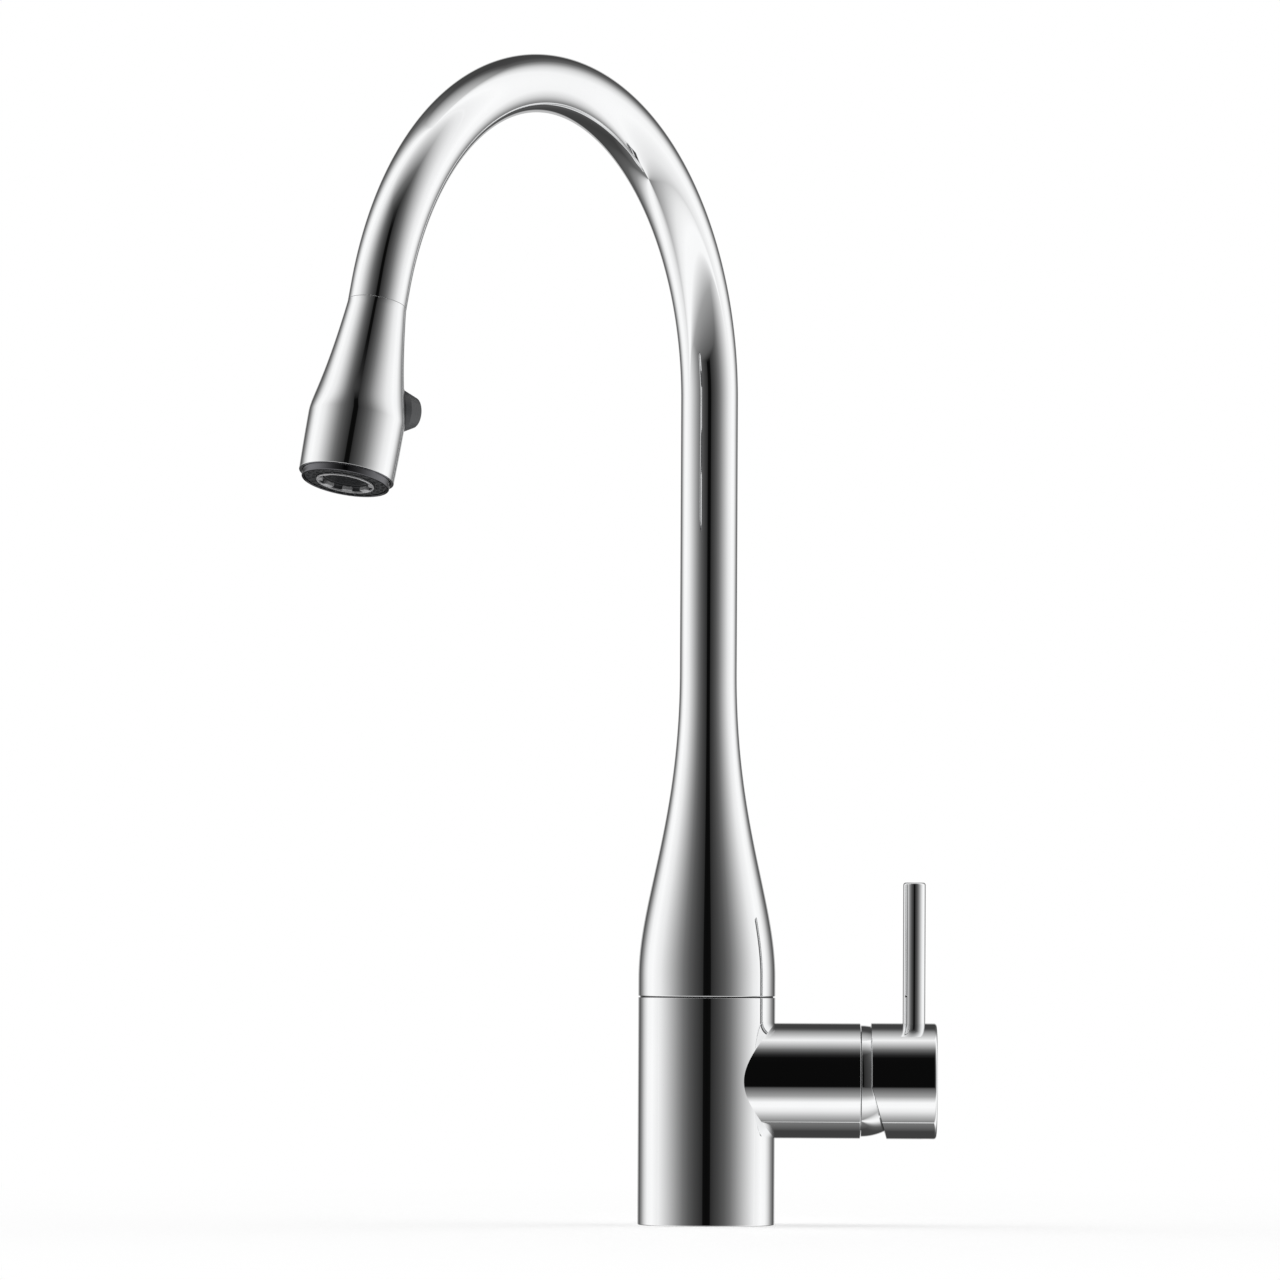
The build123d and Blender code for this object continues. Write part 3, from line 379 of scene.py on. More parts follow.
def hexagon_outline(corner: float) -> list[tuple[float, float]]:
    """A hexagon's corners, the first on local +X."""
    return [(corner * math.cos(a), corner * math.sin(a)) for a in np.arange(6) * math.pi / 3]


def prism(
    name: str, outline: Sequence[tuple[float, float]], low: float, high: float, axes: Axes
) -> bpy.types.Object:
    """A straight bar with a flat outline, walked anticlockwise in local X and Y."""
    count = len(outline)
    points = [(x, y, h) for h in (low, high) for x, y in outline]
    faces: list[Sequence[int]] = [list(range(count))[::-1], list(range(count, 2 * count))]
    faces += [(i, (i + 1) % count, count + (i + 1) % count, count + i) for i in range(count)]
    return new_piece(name, axes.place(np.array(points)), faces)


def coil(
    name: str, radius: float, wire: float, span: tuple[float, float], turns: float, axes: Axes
) -> bpy.types.Object:
    """Winds a round wire into an open coil.

    Args:
        name: The piece's name.
        radius: The coil's radius to the wire's centre.
        wire: The wire's radius.
        span: The levels that the wire's centre starts and ends at.
        turns: How many turns it makes.
        axes: The coil's frame.

    Returns:
        The piece.
    """
    stations, sides = int(turns * 72), 12
    turn = np.linspace(0, 2 * math.pi * turns, stations + 1)
    climb = (span[1] - span[0]) / (2 * math.pi * turns)
    nought = np.zeros_like(turn)
    out = np.stack([np.cos(turn), np.sin(turn), nought], axis=1)
    along = np.stack([-radius * np.sin(turn), radius * np.cos(turn), np.full_like(turn, climb)], axis=1)
    along /= np.linalg.norm(along, axis=1)[:, None]
    up = np.cross(along, out) * -1
    centre = radius * out + np.stack([nought, nought, span[0] + climb * turn], axis=1)
    around = np.arange(sides) * 2 * math.pi / sides
    rings = [centre + wire * (math.cos(a) * out + math.sin(a) * up) for a in around]
    points = np.stack(rings, axis=1).reshape(-1, 3)
    faces: list[Sequence[int]] = []
    for i in range(stations):
        for k in range(sides):
            n = (k + 1) % sides
            faces.append((i * sides + k, i * sides + n, (i + 1) * sides + n, (i + 1) * sides + k))
    faces.append(list(range(sides))[::-1])
    faces.append([stations * sides + k for k in range(sides)])
    piece = new_piece(name, axes.place(points), faces)
    sketch = bmesh.new()
    sketch.from_mesh(piece.data)
    bmesh.ops.recalc_face_normals(sketch, faces=sketch.faces)
    sketch.to_mesh(piece.data)
    sketch.free()
    return piece


def carve(piece: bpy.types.Object, cutters: Sequence[bpy.types.Object], how: Join = Join.CUT) -> None:
    """Cuts shapes from a piece, or joins them to it, and removes them."""
    for cutter in cutters:
        modifier = piece.modifiers.new("carve", "BOOLEAN")
        modifier.operation = how.value
        modifier.solver = "EXACT"
        modifier.object = cutter
    bpy.context.view_layer.update()
    result = bpy.data.meshes.new_from_object(piece.evaluated_get(bpy.context.evaluated_depsgraph_get()))
    piece.modifiers.clear()
    piece.data = result
    for cutter in cutters:
        bpy.data.objects.remove(cutter)


def crease(piece: bpy.types.Object) -> None:
    """Smooths a piece and keeps the edges that are really sharp."""
    sketch = bmesh.new()
    sketch.from_mesh(piece.data)
    for face in sketch.faces:
        face.smooth = True
    for edge in sketch.edges:
        if len(edge.link_faces) == 2 and edge.calc_face_angle(0) > SHARP_ANGLE:
            edge.smooth = False
    sketch.to_mesh(piece.data)
    sketch.free()


@dataclass(frozen=True)
class TurnedSurface:
    """A turned surface whose exact normals a carved piece takes back."""

    section: Section
    axes: Axes
    side: float = 1.0

    def walls(self, points: np.ndarray) -> Iterable[tuple[np.ndarray, np.ndarray]]:
        """Measures points against each wall between two of the section's points.

        Args:
            points: Points in metres in the row frame.

        Yields:
            Each point's distance from the wall in millimetres, and the wall's normal there.
        """
        outline = self.section.outline()
        run = np.roll(outline, -1, axis=0) - outline
        length = np.maximum(np.linalg.norm(run, axis=1), 1e-9)
        flat = np.stack([run[:, 1], -run[:, 0]], axis=1) / length[:, None]
        joined = flat + np.roll(flat, 1, axis=0)
        joined /= np.maximum(np.linalg.norm(joined, axis=1), 1e-9)[:, None]
        smooth = np.sum(flat * np.roll(flat, 1, axis=0), axis=1) > math.cos(SHARP_ANGLE)
        at_start = np.where(smooth[:, None], joined, flat)
        at_end = np.where(np.roll(smooth, -1)[:, None], np.roll(joined, -1, axis=0), flat)
        local = self.axes.local(points)
        radius = np.hypot(local[:, 0], local[:, 1])
        outward = local[:, :2] / np.maximum(radius, 1e-9)[:, None]
        basis = np.array([self.axes.x, self.axes.y, self.axes.z])
        for here, step, span, first, last in zip(outline, run, length, at_start, at_end):
            t = ((radius - here[0]) * step[0] + (local[:, 2] - here[1]) * step[1]) / span**2
            t = np.clip(t, 0, 1)
            gap = np.hypot(radius - here[0] - t * step[0], local[:, 2] - here[1] - t * step[1])
            slope = first * (1 - t)[:, None] + last * t[:, None]
            normal = np.concatenate([outward * slope[:, :1], slope[:, 1:]], axis=1)
            normal /= np.maximum(np.linalg.norm(normal, axis=1), 1e-9)[:, None]
            yield gap, self.side * normal @ basis


def true_normals(piece: bpy.types.Object, surfaces: Sequence[TurnedSurface], tolerance: float = 0.03) -> None:
    """Gives each face of a carved piece the exact normals of the turned wall that it lies on."""
    mesh = piece.data
    corners = np.zeros(len(mesh.loops), np.int32)
    mesh.loops.foreach_get("vertex_index", corners)
    points = np.zeros(len(mesh.vertices) * 3, np.float32)
    mesh.vertices.foreach_get("co", points)
    points = points.reshape(-1, 3).astype(float)[corners]
    flat = np.zeros(len(mesh.polygons) * 3, np.float32)
    mesh.polygons.foreach_get("normal", flat)
    starts = np.zeros(len(mesh.polygons), np.int32)
    sizes = np.zeros(len(mesh.polygons), np.int32)
    mesh.polygons.foreach_get("loop_start", starts)
    mesh.polygons.foreach_get("loop_total", sizes)
    normals = np.repeat(flat.reshape(-1, 3).astype(float), sizes, axis=0)
    best = np.full(len(mesh.polygons), tolerance)
    for surface in surfaces:
        for gap, found in surface.walls(points):
            worst = np.maximum.reduceat(gap, starts)
            closer = worst < best
            best[closer] = worst[closer]
            chosen = np.repeat(closer, sizes)
            normals[chosen] = found[chosen]
    mesh.polygons.foreach_set("use_smooth", np.ones(len(mesh.polygons), bool))
    mesh.normals_split_custom_set(normals.tolist())


# ---- Geometry Nodes: what repeats -----------------------------------------------------------


class Sketch:
    """Short ways to add and link nodes in a tree."""

    def __init__(self, tree: bpy.types.NodeTree) -> None:
        """Works in a given tree."""
        self.tree = tree

    def add(self, kind: str, settings: Optional[dict] = None, **links: object) -> bpy.types.Node:
        """Adds a node.

        Args:
            kind: The node's type.
            settings: Its properties.
            links: Its inputs by name, underscores for spaces, as a socket or a constant.

        Returns:
            The node.
        """
        node = self.tree.nodes.new(kind)
        for key, setting in (settings or {}).items():
            setattr(node, key, setting)
        for label, source in links.items():
            socket = next(s for s in node.inputs if s.name == label.replace("_", " ") and s.enabled)
            self.feed(socket, source)
        return node

    def feed(self, socket: bpy.types.NodeSocket, source: object) -> None:
        """Links or sets one input."""
        if isinstance(source, bpy.types.NodeSocket):
            self.tree.links.new(source, socket)
        else:
            socket.default_value = source

    def feed_all(self, sockets: Iterable[bpy.types.NodeSocket], sources: Iterable[object]) -> None:
        """Links or sets several inputs in order."""
        for socket, source in zip(sockets, sources):
            self.feed(socket, source)

    def math(self, operation: str, *terms: object) -> bpy.types.NodeSocket:
        """The result of a Math node over sockets and constants."""
        node = self.tree.nodes.new("ShaderNodeMath")
        node.operation = operation
        self.feed_all(node.inputs, terms)
        return node.outputs[0]

    def vector(self, x: object, y: object, z: object) -> bpy.types.NodeSocket:
        """A vector from its three parts."""
        return self.add("ShaderNodeCombineXYZ", None, X=x, Y=y, Z=z).outputs[0]


class GrowthSketch(Sketch):
    """A Geometry Nodes tree with named inputs that ends in Realize Instances and Set Material."""

    def __init__(self, name: str, inputs: Sequence[tuple[str, str, float]]) -> None:
        """Makes the tree and its sockets.

        Args:
            name: The tree's name.
            inputs: Each input's label, socket type and first value.
        """
        super().__init__(bpy.data.node_groups.new(name, "GeometryNodeTree"))
        for label, kind, value in inputs:
            socket = self.tree.interface.new_socket(label, in_out="INPUT", socket_type=kind)
            socket.default_value = value
        self.tree.interface.new_socket("Material", in_out="INPUT", socket_type="NodeSocketMaterial")
        self.tree.interface.new_socket("Geometry", in_out="OUTPUT", socket_type="NodeSocketGeometry")
        self.inputs = self.tree.nodes.new("NodeGroupInput")
        self.output = self.tree.nodes.new("NodeGroupOutput")

    def value(self, label: str) -> bpy.types.NodeSocket:
        """A named input's socket."""
        return self.inputs.outputs[label]

    def scattered(self, points: object, instance: object, **links: object) -> bpy.types.NodeSocket:
        """Copies of an instance on points."""
        kind = "GeometryNodeInstanceOnPoints"
        return self.add(kind, None, Points=points, Instance=instance, **links).outputs[0]

    def moved(self, geometry: object, **links: object) -> bpy.types.NodeSocket:
        """Geometry moved or turned as a whole."""
        return self.add("GeometryNodeTransform", None, Geometry=geometry, **links).outputs[0]

    def finish(self, geometry: bpy.types.NodeSocket) -> bpy.types.NodeTree:
        """Realizes the instances, gives the result its material and closes the tree."""
        real = self.add("GeometryNodeRealizeInstances", None, Geometry=geometry).outputs[0]
        dressed = self.add("GeometryNodeSetMaterial", None, Geometry=real, Material=self.value("Material"))
        self.tree.links.new(dressed.outputs[0], self.output.inputs[0])
        return self.tree


def ring_of_nozzles_tree() -> bpy.types.NodeTree:
    """A circle of small tapered rubber nozzles that point down."""
    inputs = [("Count", "NodeSocketInt", 20), ("Circle Radius", "NodeSocketFloat", 0.011)]
    inputs += [("Root Radius", "NodeSocketFloat", 0.0006), ("Tip Radius", "NodeSocketFloat", 0.0004)]
    inputs += [("Height", "NodeSocketFloat", 0.0005), ("Level", "NodeSocketFloat", 0.0)]
    sketch = GrowthSketch("ring_of_nozzles", inputs)
    count, radius = sketch.value("Count"), sketch.value("Circle Radius")
    circle = sketch.add("GeometryNodeMeshCircle", None, Vertices=count, Radius=radius)
    root, tip, height = (sketch.value(label) for label in ("Root Radius", "Tip Radius", "Height"))
    shape = {"Vertices": 14, "Radius_Top": root, "Radius_Bottom": tip, "Depth": height}
    nozzle = sketch.add("GeometryNodeMeshCone", None, **shape)
    level = sketch.vector(0.0, 0.0, sketch.math("SUBTRACT", sketch.value("Level"), height))
    lowered = sketch.moved(nozzle.outputs[0], Translation=level)
    return sketch.finish(sketch.scattered(circle.outputs[0], lowered))


def merlons_tree() -> bpy.types.NodeTree:
    """Curved blocks that stand in a ring with gaps between them."""
    inputs = [("Count", "NodeSocketInt", 8), ("Middle Radius", "NodeSocketFloat", 0.0086)]
    inputs += [("Thickness", "NodeSocketFloat", 0.0015), ("Height", "NodeSocketFloat", 0.0015)]
    inputs += [("Share", "NodeSocketFloat", 0.55), ("Middle Level", "NodeSocketFloat", 0.0)]
    sketch = GrowthSketch("ring_of_merlons", inputs)
    step = sketch.math("DIVIDE", 2 * math.pi, sketch.value("Count"))
    sweep = sketch.math("MULTIPLY", step, sketch.value("Share"))
    shape = {"Resolution": 10, "Radius": sketch.value("Middle Radius"), "Sweep_Angle": sweep}
    arc = sketch.add("GeometryNodeCurveArc", {"mode": "RADIUS"}, **shape).outputs[0]
    size = {"Width": sketch.value("Thickness"), "Height": sketch.value("Height")}
    bar = sketch.add("GeometryNodeCurvePrimitiveQuadrilateral", None, **size).outputs[0]
    block = sketch.add("GeometryNodeCurveToMesh", None, Curve=arc, Profile_Curve=bar, Fill_Caps=True)
    points = sketch.add("GeometryNodePoints", None, Count=sketch.value("Count")).outputs[0]
    index = sketch.add("GeometryNodeInputIndex").outputs[0]
    turn = sketch.vector(0.0, 0.0, sketch.math("MULTIPLY", index, step))
    placed = sketch.scattered(points, block.outputs[0], Rotation=turn)
    level = sketch.vector(0.0, 0.0, sketch.value("Middle Level"))
    return sketch.finish(sketch.moved(placed, Translation=level))


def grille_tree() -> bpy.types.NodeTree:
    """Fine parallel ribs cropped to a circle, in two crossed layers."""
    inputs = [("Ribs", "NodeSocketInt", 13), ("Radius", "NodeSocketFloat", 0.0076)]
    inputs += [("Rib Width", "NodeSocketFloat", 0.0003), ("Rib Depth", "NodeSocketFloat", 0.0006)]
    inputs += [("Level", "NodeSocketFloat", 0.0), ("Angle", "NodeSocketFloat", math.pi / 4)]
    sketch = GrowthSketch("crossed_grille", inputs)
    radius = sketch.value("Radius")
    gaps = sketch.math("ADD", sketch.value("Ribs"), 1.0)
    spacing = sketch.math("DIVIDE", sketch.math("MULTIPLY", radius, 2.0), gaps)
    points = sketch.add("GeometryNodePoints", None, Count=sketch.value("Ribs")).outputs[0]
    place = sketch.math("ADD", sketch.add("GeometryNodeInputIndex").outputs[0], 1.0)
    across = sketch.math("SUBTRACT", sketch.math("MULTIPLY", place, spacing), radius)
    spots = sketch.vector(across, 0.0, 0.0)
    row = sketch.add("GeometryNodeSetPosition", None, Geometry=points, Position=spots).outputs[0]
    squares = [sketch.math("MULTIPLY", side, side) for side in (radius, across)]
    chord = sketch.math("MULTIPLY", sketch.math("SQRT", sketch.math("SUBTRACT", *squares)), 2.0)
    rib = sketch.add("GeometryNodeMeshCube", None, Size=(1.0, 1.0, 1.0)).outputs[0]
    scale = sketch.vector(sketch.value("Rib Width"), chord, sketch.value("Rib Depth"))
    layer = sketch.scattered(row, rib, Scale=scale)
    join = sketch.add("GeometryNodeJoinGeometry")
    for side, drop in ((1.0, 0.0), (-1.0, 0.8)):
        depth = sketch.math("MULTIPLY", sketch.value("Rib Depth"), drop)
        level = sketch.vector(0.0, 0.0, sketch.math("ADD", sketch.value("Level"), depth))
        spin = sketch.vector(0.0, 0.0, sketch.math("MULTIPLY", sketch.value("Angle"), side))
        crossed = sketch.moved(layer, Translation=level, Rotation=spin)
        sketch.tree.links.new(crossed, join.inputs[0])
    return sketch.finish(join.outputs[0])


def grown(
    name: str, tree: bpy.types.NodeTree, values: dict[str, float], material: bpy.types.Material, axes: Axes
) -> bpy.types.Object:
    """Runs a Geometry Nodes tree and keeps its result as a plain mesh.

    Args:
        name: The piece's name.
        tree: The tree, in a local frame in metres.
        values: Its named inputs.
        material: The piece's material.
        axes: Where the local frame lies.

    Returns:
        The piece, at the origin with its place in its mesh.
    """
    host = bpy.data.objects.new(name, bpy.data.meshes.new(name))
    bpy.context.scene.collection.objects.link(host)
    modifier = host.modifiers.new(name, "NODES")
    modifier.node_group = tree
    for item in tree.interface.items_tree:
        if item.in_out == "INPUT" and item.name in values:
            modifier[item.identifier] = values[item.name]
        elif item.in_out == "INPUT" and item.name == "Material":
            modifier[item.identifier] = material
    bpy.context.view_layer.update()
    mesh = bpy.data.meshes.new_from_object(host.evaluated_get(bpy.context.evaluated_depsgraph_get()))
    host.modifiers.clear()
    mesh.transform(axes.matrix())
    host.data = mesh
    return host


def merged(name: str, pieces: Sequence[bpy.types.Object]) -> bpy.types.Object:
    """Joins pieces of one body into one object."""
    sketch = bmesh.new()
    for piece in pieces:
        sketch.from_mesh(piece.data)
    mesh = bpy.data.meshes.new(name)
    sketch.to_mesh(mesh)
    sketch.free()
    for piece in pieces:
        bpy.data.objects.remove(piece)
    whole = bpy.data.objects.new(name, mesh)
    bpy.context.scene.collection.objects.link(whole)
    return whole


# ---- shader node groups ---------------------------------------------------------------------


class ShaderSketch(Sketch):
    """Short ways to add what materials share."""

    def spread(
        self, source: object, low: object, high: object, start: float = 0.3, end: float = 0.7
    ) -> bpy.types.NodeSocket:
        """Maps the middle of a noise to a range."""
        span = {"From_Min": start, "From_Max": end, "To_Min": low, "To_Max": high}
        return self.add("ShaderNodeMapRange", None, Value=source, **span).outputs[0]

    def noise(self, vector: object, scale: object, detail: float = 3.0) -> bpy.types.NodeSocket:
        """A noise's grey value."""
        node = self.add("ShaderNodeTexNoise", None, Vector=vector, Scale=scale, Detail=detail)
        return node.outputs["Fac"]

    def shaded(self, tone: object, shade: object) -> bpy.types.NodeSocket:
        """A colour multiplied by a grey value."""
        scaled = self.add("ShaderNodeVectorMath", {"operation": "MULTIPLY"})
        self.feed_all(scaled.inputs, (tone, self.vector(shade, shade, shade)))
        return scaled.outputs[0]

    def turned_about(self, place: object, axes: Axes) -> bpy.types.NodeSocket:
        """Coordinates in a local frame, in metres."""
        inverse = axes.matrix().inverted()
        mapping = self.add("ShaderNodeMapping", {"vector_type": "POINT"}, Vector=place)
        mapping.inputs["Location"].default_value = inverse.translation
        mapping.inputs["Rotation"].default_value = inverse.to_euler("XYZ")
        return mapping.outputs[0]


FLOAT, VECTOR, COLOUR = "NodeSocketFloat", "NodeSocketVector", "NodeSocketColor"
SURFACE_OUTPUTS = (("Color", COLOUR), ("Roughness", FLOAT), ("Height", FLOAT))


def new_group(
    name: str, inputs: Sequence[tuple[str, str, object]]
) -> tuple[ShaderSketch, bpy.types.NodeOutputs]:
    """Starts a shader node group that gives a colour, a roughness and a height.

    Args:
        name: The group's name.
        inputs: Each input's label, socket type and first value, None for a vector.

    Returns:
        The sketch and the outputs of the group's input node.
    """
    tree = bpy.data.node_groups.new(name, "ShaderNodeTree")
    for label, kind, value in inputs:
        socket = tree.interface.new_socket(label, in_out="INPUT", socket_type=kind)
        if value is not None:
            socket.default_value = value
    for label, kind in SURFACE_OUTPUTS:
        tree.interface.new_socket(label, in_out="OUTPUT", socket_type=kind)
    return ShaderSketch(tree), tree.nodes.new("NodeGroupInput").outputs


def close_group(
    sketch: ShaderSketch, colour: object, roughness: object, height: object
) -> bpy.types.NodeTree:
    """Feeds a group's three outputs and returns its tree."""
    sink = sketch.tree.nodes.new("NodeGroupOutput")
    sketch.feed_all(sink.inputs, (colour, roughness, height))
    return sketch.tree


def toned_inputs(
    tone: tuple[float, ...], size: tuple[str, float], least: float, most: float
) -> list[tuple[str, str, object]]:
    """The inputs that every toned surface's group has.

    Args:
        tone: The first colour.
        size: The label and the first value of the size of its marks, in metres.
        least: The first value of the least roughness.
        most: The first value of the most roughness.

    Returns:
        Each input's label, socket type and first value.
    """
    inputs = [("Vector", VECTOR, None), ("Tone", COLOUR, tone), (size[0], FLOAT, size[1])]
    return inputs + [("Least Roughness", FLOAT, least), ("Most Roughness", FLOAT, most)]


def polish_group() -> bpy.types.NodeTree:
    """Polished plating: a faint haze, wiping streaks and a trace of waviness."""
    inputs = toned_inputs((0.9, 0.9, 0.9, 1), ("Haze Size", 0.03), 0.02, 0.05)
    sketch, given = new_group("polish_haze", inputs)
    place = given["Vector"]
    broad = sketch.noise(place, sketch.math("DIVIDE", 1.0, given["Haze Size"]))
    stretched = sketch.add("ShaderNodeMapping", None, Vector=place)
    stretched.inputs["Scale"].default_value = (900, 900, 90)
    streaks = sketch.math("MULTIPLY", sketch.noise(stretched.outputs[0], 1.0, 2.0), 0.25)
    both = sketch.math("ADD", sketch.math("MULTIPLY", broad, 0.75), streaks)
    rough = sketch.spread(both, given["Least Roughness"], given["Most Roughness"])
    colour = sketch.shaded(given["Tone"], sketch.spread(broad, 0.975, 1.0))
    return close_group(sketch, colour, rough, sketch.noise(place, 260.0, 1.0))


def moulded_group() -> bpy.types.NodeTree:
    """Moulded plastic or rubber: a fine spark-eroded grain and soft flow marks."""
    inputs = toned_inputs((0.05, 0.05, 0.05, 1), ("Grain Size", 0.0004), 0.35, 0.5)
    sketch, given = new_group("moulded_grain", inputs + [("Mottle", FLOAT, 0.85)])
    place = given["Vector"]
    fine = sketch.math("DIVIDE", 1.0, given["Grain Size"])
    cells = sketch.add("ShaderNodeTexVoronoi", {"feature": "F1"}, Vector=place, Scale=fine)
    grain = sketch.noise(place, fine, 2.0)
    pits = sketch.math("MULTIPLY", cells.outputs["Distance"], 0.6)
    height = sketch.math("ADD", pits, sketch.math("MULTIPLY", grain, 0.4))
    rough = sketch.spread(sketch.noise(place, 60.0, 2.0), given["Least Roughness"], given["Most Roughness"])
    colour = sketch.shaded(given["Tone"], sketch.spread(grain, given["Mottle"], 1.0))
    return close_group(sketch, colour, rough, height)


def turning_group() -> bpy.types.NodeTree:
    """Metal left as machined: feed lines round the axis, with tarnish and scratches."""
    inputs = toned_inputs((0.7, 0.5, 0.25, 1), ("Feed", 0.0004), 0.2, 0.4)
    sketch, given = new_group("machined_marks", inputs + [("Tarnish", FLOAT, 0.7)])
    place = given["Vector"]
    along = sketch.add("ShaderNodeSeparateXYZ", None, Vector=place).outputs["Z"]
    wobble = sketch.math("MULTIPLY", sketch.noise(place, 220.0, 2.0), 0.0003)
    phase = sketch.math("DIVIDE", sketch.math("ADD", along, wobble), given["Feed"])
    patches = sketch.noise(place, 70.0, 4.0)
    rough = sketch.spread(patches, given["Least Roughness"], given["Most Roughness"])
    colour = sketch.shaded(given["Tone"], sketch.spread(patches, given["Tarnish"], 1.0))
    return close_group(sketch, colour, rough, sketch.math("PINGPONG", phase, 1.0))


def braid_group() -> bpy.types.NodeTree:
    """Two sets of strands that cross round a hose and pass over and under each other, with painted shade: the
    colour darkens with the weave's depth.
    """
    inputs = [("Around", FLOAT, 0.0), ("Along", FLOAT, 0.0), ("Strands", FLOAT, 12.0), ("Lay", FLOAT, 0.009)]
    inputs += [("Light", COLOUR, (0.6, 0.6, 0.62, 1)), ("Dark", COLOUR, (0.08, 0.08, 0.085, 1))]
    sketch, given = new_group("crossing_braid", inputs)
    turns = sketch.math("MULTIPLY", given["Around"], given["Strands"])
    climb = sketch.math("MULTIPLY", sketch.math("DIVIDE", given["Along"], given["Lay"]), given["Strands"])
    strands = []
    for operation in ("ADD", "SUBTRACT"):
        phase = sketch.math("MULTIPLY", sketch.math(operation, turns, climb), math.pi)
        strands.append(sketch.math("ABSOLUTE", sketch.math("SINE", phase)))
    over = sketch.math("MULTIPLY", sketch.math("MAXIMUM", *strands), 0.8)
    under = sketch.math("MULTIPLY", sketch.math("MINIMUM", *strands), 0.2)
    height = sketch.math("ADD", over, under)
    # painted shade: the colour runs from the dark tone in the weave's hollows to the light strand tone on the
    # crests, by depth
    mix = sketch.add("ShaderNodeMix", {"data_type": "RGBA"})
    shade = sketch.spread(height, 0.0, 1.0, 0.35, 0.9)
    sketch.feed_all((mix.inputs[0], mix.inputs[6], mix.inputs[7]), (shade, given["Dark"], given["Light"]))
    return close_group(sketch, mix.outputs[2], sketch.spread(height, 0.6, 0.3), height)


GROUP_MAKERS = {
    "polish": polish_group,
    "moulded": moulded_group,
    "turning": turning_group,
    "braid": braid_group,
}
GROUPS: dict[str, bpy.types.NodeTree] = {}


def shared_group(name: str) -> bpy.types.NodeTree:
    """A shader group by name, built the first time that it is asked for."""
    if name not in GROUPS:
        GROUPS[name] = GROUP_MAKERS[name]()
    return GROUPS[name]


# ---- finishes -------------------------------------------------------------------------------


def start_material(name: str) -> tuple[bpy.types.Material, ShaderSketch, bpy.types.Node]:
    """A new material, its sketch and its Principled shader."""
    material = bpy.data.materials.new(name)
    material.use_nodes = True
    shader = material.node_tree.nodes["Principled BSDF"]
    return material, ShaderSketch(material.node_tree), shader


def surface_vector(sketch: ShaderSketch, axes: Optional[Axes]) -> bpy.types.NodeSocket:
    """Object coordinates, turned so that Z runs along a piece's own axis where one is given."""
    place = sketch.add("ShaderNodeTexCoord").outputs["Object"]
    return place if axes is None else sketch.turned_about(place, axes)


def dress_shader(
    sketch: ShaderSketch, shader: bpy.types.Node, group: bpy.types.Node, strength: float, distance: float
) -> None:
    """Feeds a shader from a group: its colour, its roughness and its height through a Bump."""
    sketch.feed(shader.inputs["Base Color"], group.outputs["Color"])
    sketch.feed(shader.inputs["Roughness"], group.outputs["Roughness"])
    bump = sketch.add("ShaderNodeBump", None, Height=group.outputs["Height"])
    bump.inputs["Strength"].default_value = strength
    bump.inputs["Distance"].default_value = distance
    sketch.feed(shader.inputs["Normal"], bump.outputs[0])


@dataclass(frozen=True)
class MetalFinish:
    """A bare or plated metal: tone, how rough it is at least and at most, and its marks."""

    slot: str
    tone: tuple[float, float, float]
    least: float
    most: float
    marks: Marks = Marks.TURNED
    feature: float = 0.0005
    bump: float = 0.00002
    strength: float = 0.3
    tarnish: float = 0.8
    metallic: float = 1.0

    def build(self, axes: Optional[Axes] = None, suffix: str = "") -> bpy.types.Material:
        """Makes the material, its marks along a given frame's +Z."""
        material, sketch, shader = start_material(self.slot + suffix)
        kind = "polish" if self.marks is Marks.POLISHED else "turning"
        group = sketch.add("ShaderNodeGroup", {"node_tree": shared_group(kind)})
        sketch.feed(group.inputs["Vector"], surface_vector(sketch, axes))
        group.inputs["Tone"].default_value = (*self.tone, 1)
        group.inputs["Least Roughness"].default_value = self.least
        group.inputs["Most Roughness"].default_value = self.most
        if self.marks is Marks.POLISHED:
            group.inputs["Haze Size"].default_value = self.feature
        else:
            group.inputs["Feed"].default_value = self.feature
            group.inputs["Tarnish"].default_value = self.tarnish
        shader.inputs["Metallic"].default_value = self.metallic
        dress_shader(sketch, shader, group, self.strength, self.bump)
        return material


@dataclass(frozen=True)
class MouldedFinish:
    """A moulded plastic, rubber or ceramic: tone, roughness, grain and a clear gloss."""

    slot: str
    tone: tuple[float, float, float]
    least: float
    most: float
    grain: float = 0.0004
    bump: float = 0.00004
    strength: float = 0.5
    mottle: float = 0.85
    coat: float = 0.0

    def build(self, axes: Optional[Axes] = None, suffix: str = "") -> bpy.types.Material:
        """Makes the material."""
        material, sketch, shader = start_material(self.slot + suffix)
        group = sketch.add("ShaderNodeGroup", {"node_tree": shared_group("moulded")})
        sketch.feed(group.inputs["Vector"], surface_vector(sketch, axes))
        group.inputs["Tone"].default_value = (*self.tone, 1)
        group.inputs["Grain Size"].default_value = self.grain
        group.inputs["Least Roughness"].default_value = self.least
        group.inputs["Most Roughness"].default_value = self.most
        group.inputs["Mottle"].default_value = self.mottle
        shader.inputs["Coat Weight"].default_value = self.coat
        shader.inputs["Coat Roughness"].default_value = 0.2
        dress_shader(sketch, shader, group, self.strength, self.bump)
        return material


